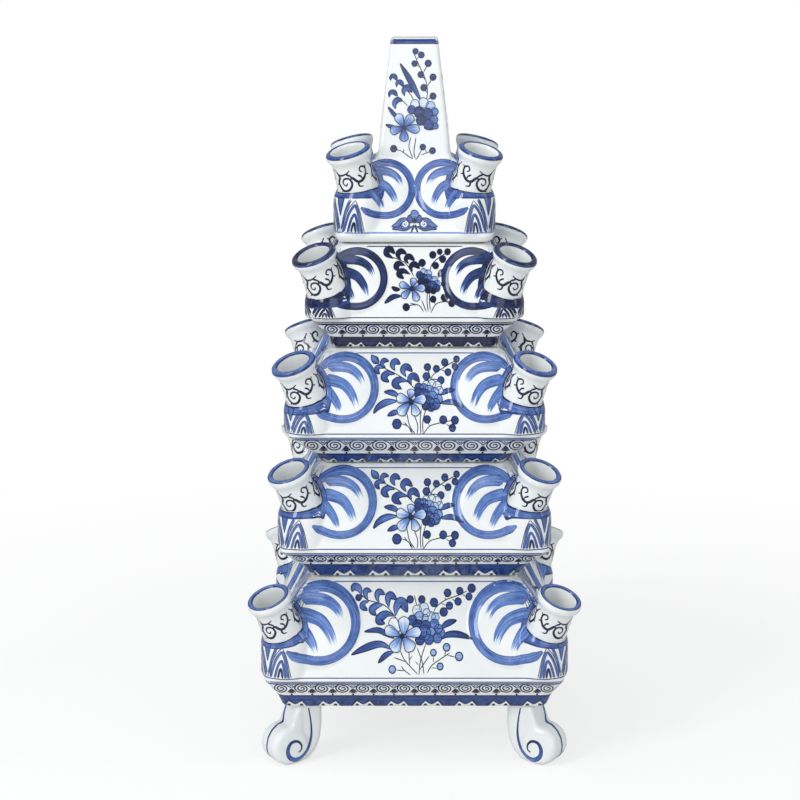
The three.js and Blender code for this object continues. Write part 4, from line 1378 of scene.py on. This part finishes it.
def mixed(tree, share, first, second, output):
    """Shows two shaders mixed by a share of the second."""
    mix = add(tree, "ShaderNodeMixShader")
    tree.links.new(share, mix.inputs["Fac"])
    tree.links.new(first, mix.inputs[1])
    tree.links.new(second, mix.inputs[2])
    tree.links.new(mix.outputs["Shader"], tree.nodes[output].inputs["Surface"])


def pale_paper():
    """Paper that the camera sees white far off. Near the feet it shows the shadows too."""
    material, tree, shader = nodes_of("pale_paper")
    plus, minus, times = sums(tree)
    place = object_place(tree)
    paper = ramp(tree, noise(tree, place, 300, 2.0), [(0.3, (0.80, 0.80, 0.80)), (0.7, (0.83, 0.83, 0.83))])
    tree.links.new(paper, shader.inputs["Base Color"])
    shader.inputs["Roughness"].default_value = 0.9
    shader.inputs["Specular IOR Level"].default_value = 0.1
    away = add(tree, "ShaderNodeVectorMath", operation="LENGTH")
    tree.links.new(place, away.inputs[0])
    near = reckon(tree, "DIVIDE", minus(FLOOR_NEAR_END, away.outputs["Value"]), FLOOR_NEAR_FADE, clamp=True)
    bright = add(tree, "ShaderNodeEmission")
    tree.links.new(plus(1.0, times(near, 0.13)), bright.inputs["Strength"])
    share = times(seen_by_camera(tree), minus(1.0, times(near, 0.38)))
    mixed(tree, share, shader.outputs["BSDF"], bright.outputs["Emission"], "Material Output")
    return material


def studio_floor():
    """A pale seamless floor."""
    put_down()
    bpy.ops.mesh.primitive_plane_add(size=120, location=(0, 0, 0))
    floor = blank("studio_floor")
    floor.data.materials.append(pale_paper())


def studio_world():
    """Soft light from all round, seen as plain white."""
    world = bpy.data.worlds.new("studio")
    bpy.context.scene.world = world
    world.use_nodes = True
    tree = world.node_tree
    lit = tree.nodes["Background"]
    lit.inputs["Color"].default_value = (0.95, 0.975, 1.0, 1)
    lit.inputs["Strength"].default_value = 0.48
    seen = add(tree, "ShaderNodeBackground", Color=(1, 1, 1, 1))
    mixed(tree, seen_by_camera(tree), lit.outputs["Background"], seen.outputs["Background"], "World Output")


def studio_lamps():
    """The softboxes round the tower."""
    for name, place, size, power in LAMPS:
        put_down()
        bpy.ops.object.light_add(type="AREA", location=place)
        lamp = bpy.context.object
        lamp.name = name
        lamp.data.shape = "RECTANGLE"
        lamp.data.size, lamp.data.size_y = size
        lamp.data.energy = power
        lamp.rotation_euler = (Vector(LAMPS_AIM) - Vector(place)).to_track_quat("-Z", "Y").to_euler()


def studio_camera():
    """The camera in front of the tower, looking a little down."""
    bpy.ops.object.camera_add(location=CAMERA_PLACE, rotation=(math.radians(90 - CAMERA_DOWN), 0, 0))
    camera = bpy.context.object
    camera.name = "camera"
    camera.data.sensor_width = 36
    camera.data.lens = CAMERA_LENS
    camera.data.shift_x = CAMERA_SHIFT
    camera.data.clip_end = 200
    bpy.context.scene.camera = camera
    bpy.context.scene.view_settings.view_transform = "Standard"


# The tower
TIER_WHITE = white_glaze("tier_white_glaze", 1, (0.86, 0.868, 0.85))
SPOUT_WHITE = white_glaze("spout_white_glaze", 4, (0.85, 0.865, 0.85))
FOOT_WHITE = white_glaze("foot_white_glaze", 7, (0.855, 0.868, 0.856))

# How much deeper than usual each tier's blue is
DEPTHS = {"tier_4": 0.4, "tier_5": 0.12}
USUAL_DEPTH = 0.06


def glaze_with(piece, material, body):
    """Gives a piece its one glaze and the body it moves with."""
    piece.data.materials.clear()
    piece.data.materials.append(material)
    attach(piece, body)


def make_spouts(tier):
    """The four spouts of a tier, thrown once and turned to each corner."""
    name = tier["name"]
    first = thrown_spout(tier)
    spouts = [quarter_turned(first, name + "_glazed_spout_" + corner, k) for k, corner in enumerate(CORNERS)]
    bpy.data.objects.remove(first)
    for piece, corner in zip(spouts, CORNERS):
        glaze_with(piece, SPOUT_WHITE, name)
        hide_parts(name + "_spout_" + corner)
    return spouts


bodies, spouts = {}, {}
for tier in TIERS:
    name = tier["name"]
    bodies[name] = tier_body(tier)
    glaze_with(bodies[name], TIER_WHITE, name)
    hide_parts(name + "_body")
    spouts[name] = make_spouts(tier)
feet = [scroll_foot(corner) for corner in CORNERS]
for piece, corner in zip(feet, CORNERS):
    glaze_with(piece, FOOT_WHITE, "tier_1")
    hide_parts("foot_" + corner)

random.seed(11)
COBALT = cobalt("cobalt_brushwork", (0.003, 0.007, 0.035))
COBALT_SPOUT = cobalt("cobalt_tendrils", (0.003, 0.006, 0.03))
for tier in TIERS:
    name = tier["name"]
    deep = DEPTHS.get(name, USUAL_DEPTH)
    graph = bpy.context.evaluated_depsgraph_get()
    film = paint_tier(tier, BVHTree.FromObject(bodies[name], graph), deep)
    glaze_with(film, COBALT, name)
    film = paint_spouts(tier, BVHTree.FromObject(spouts[name][3], graph), deep)
    glaze_with(film, COBALT_SPOUT, name)
film = paint_feet(BVHTree.FromObject(feet[3], bpy.context.evaluated_depsgraph_get()))
glaze_with(film, COBALT, "tier_1")

studio_camera()
studio_floor()
studio_world()
studio_lamps()
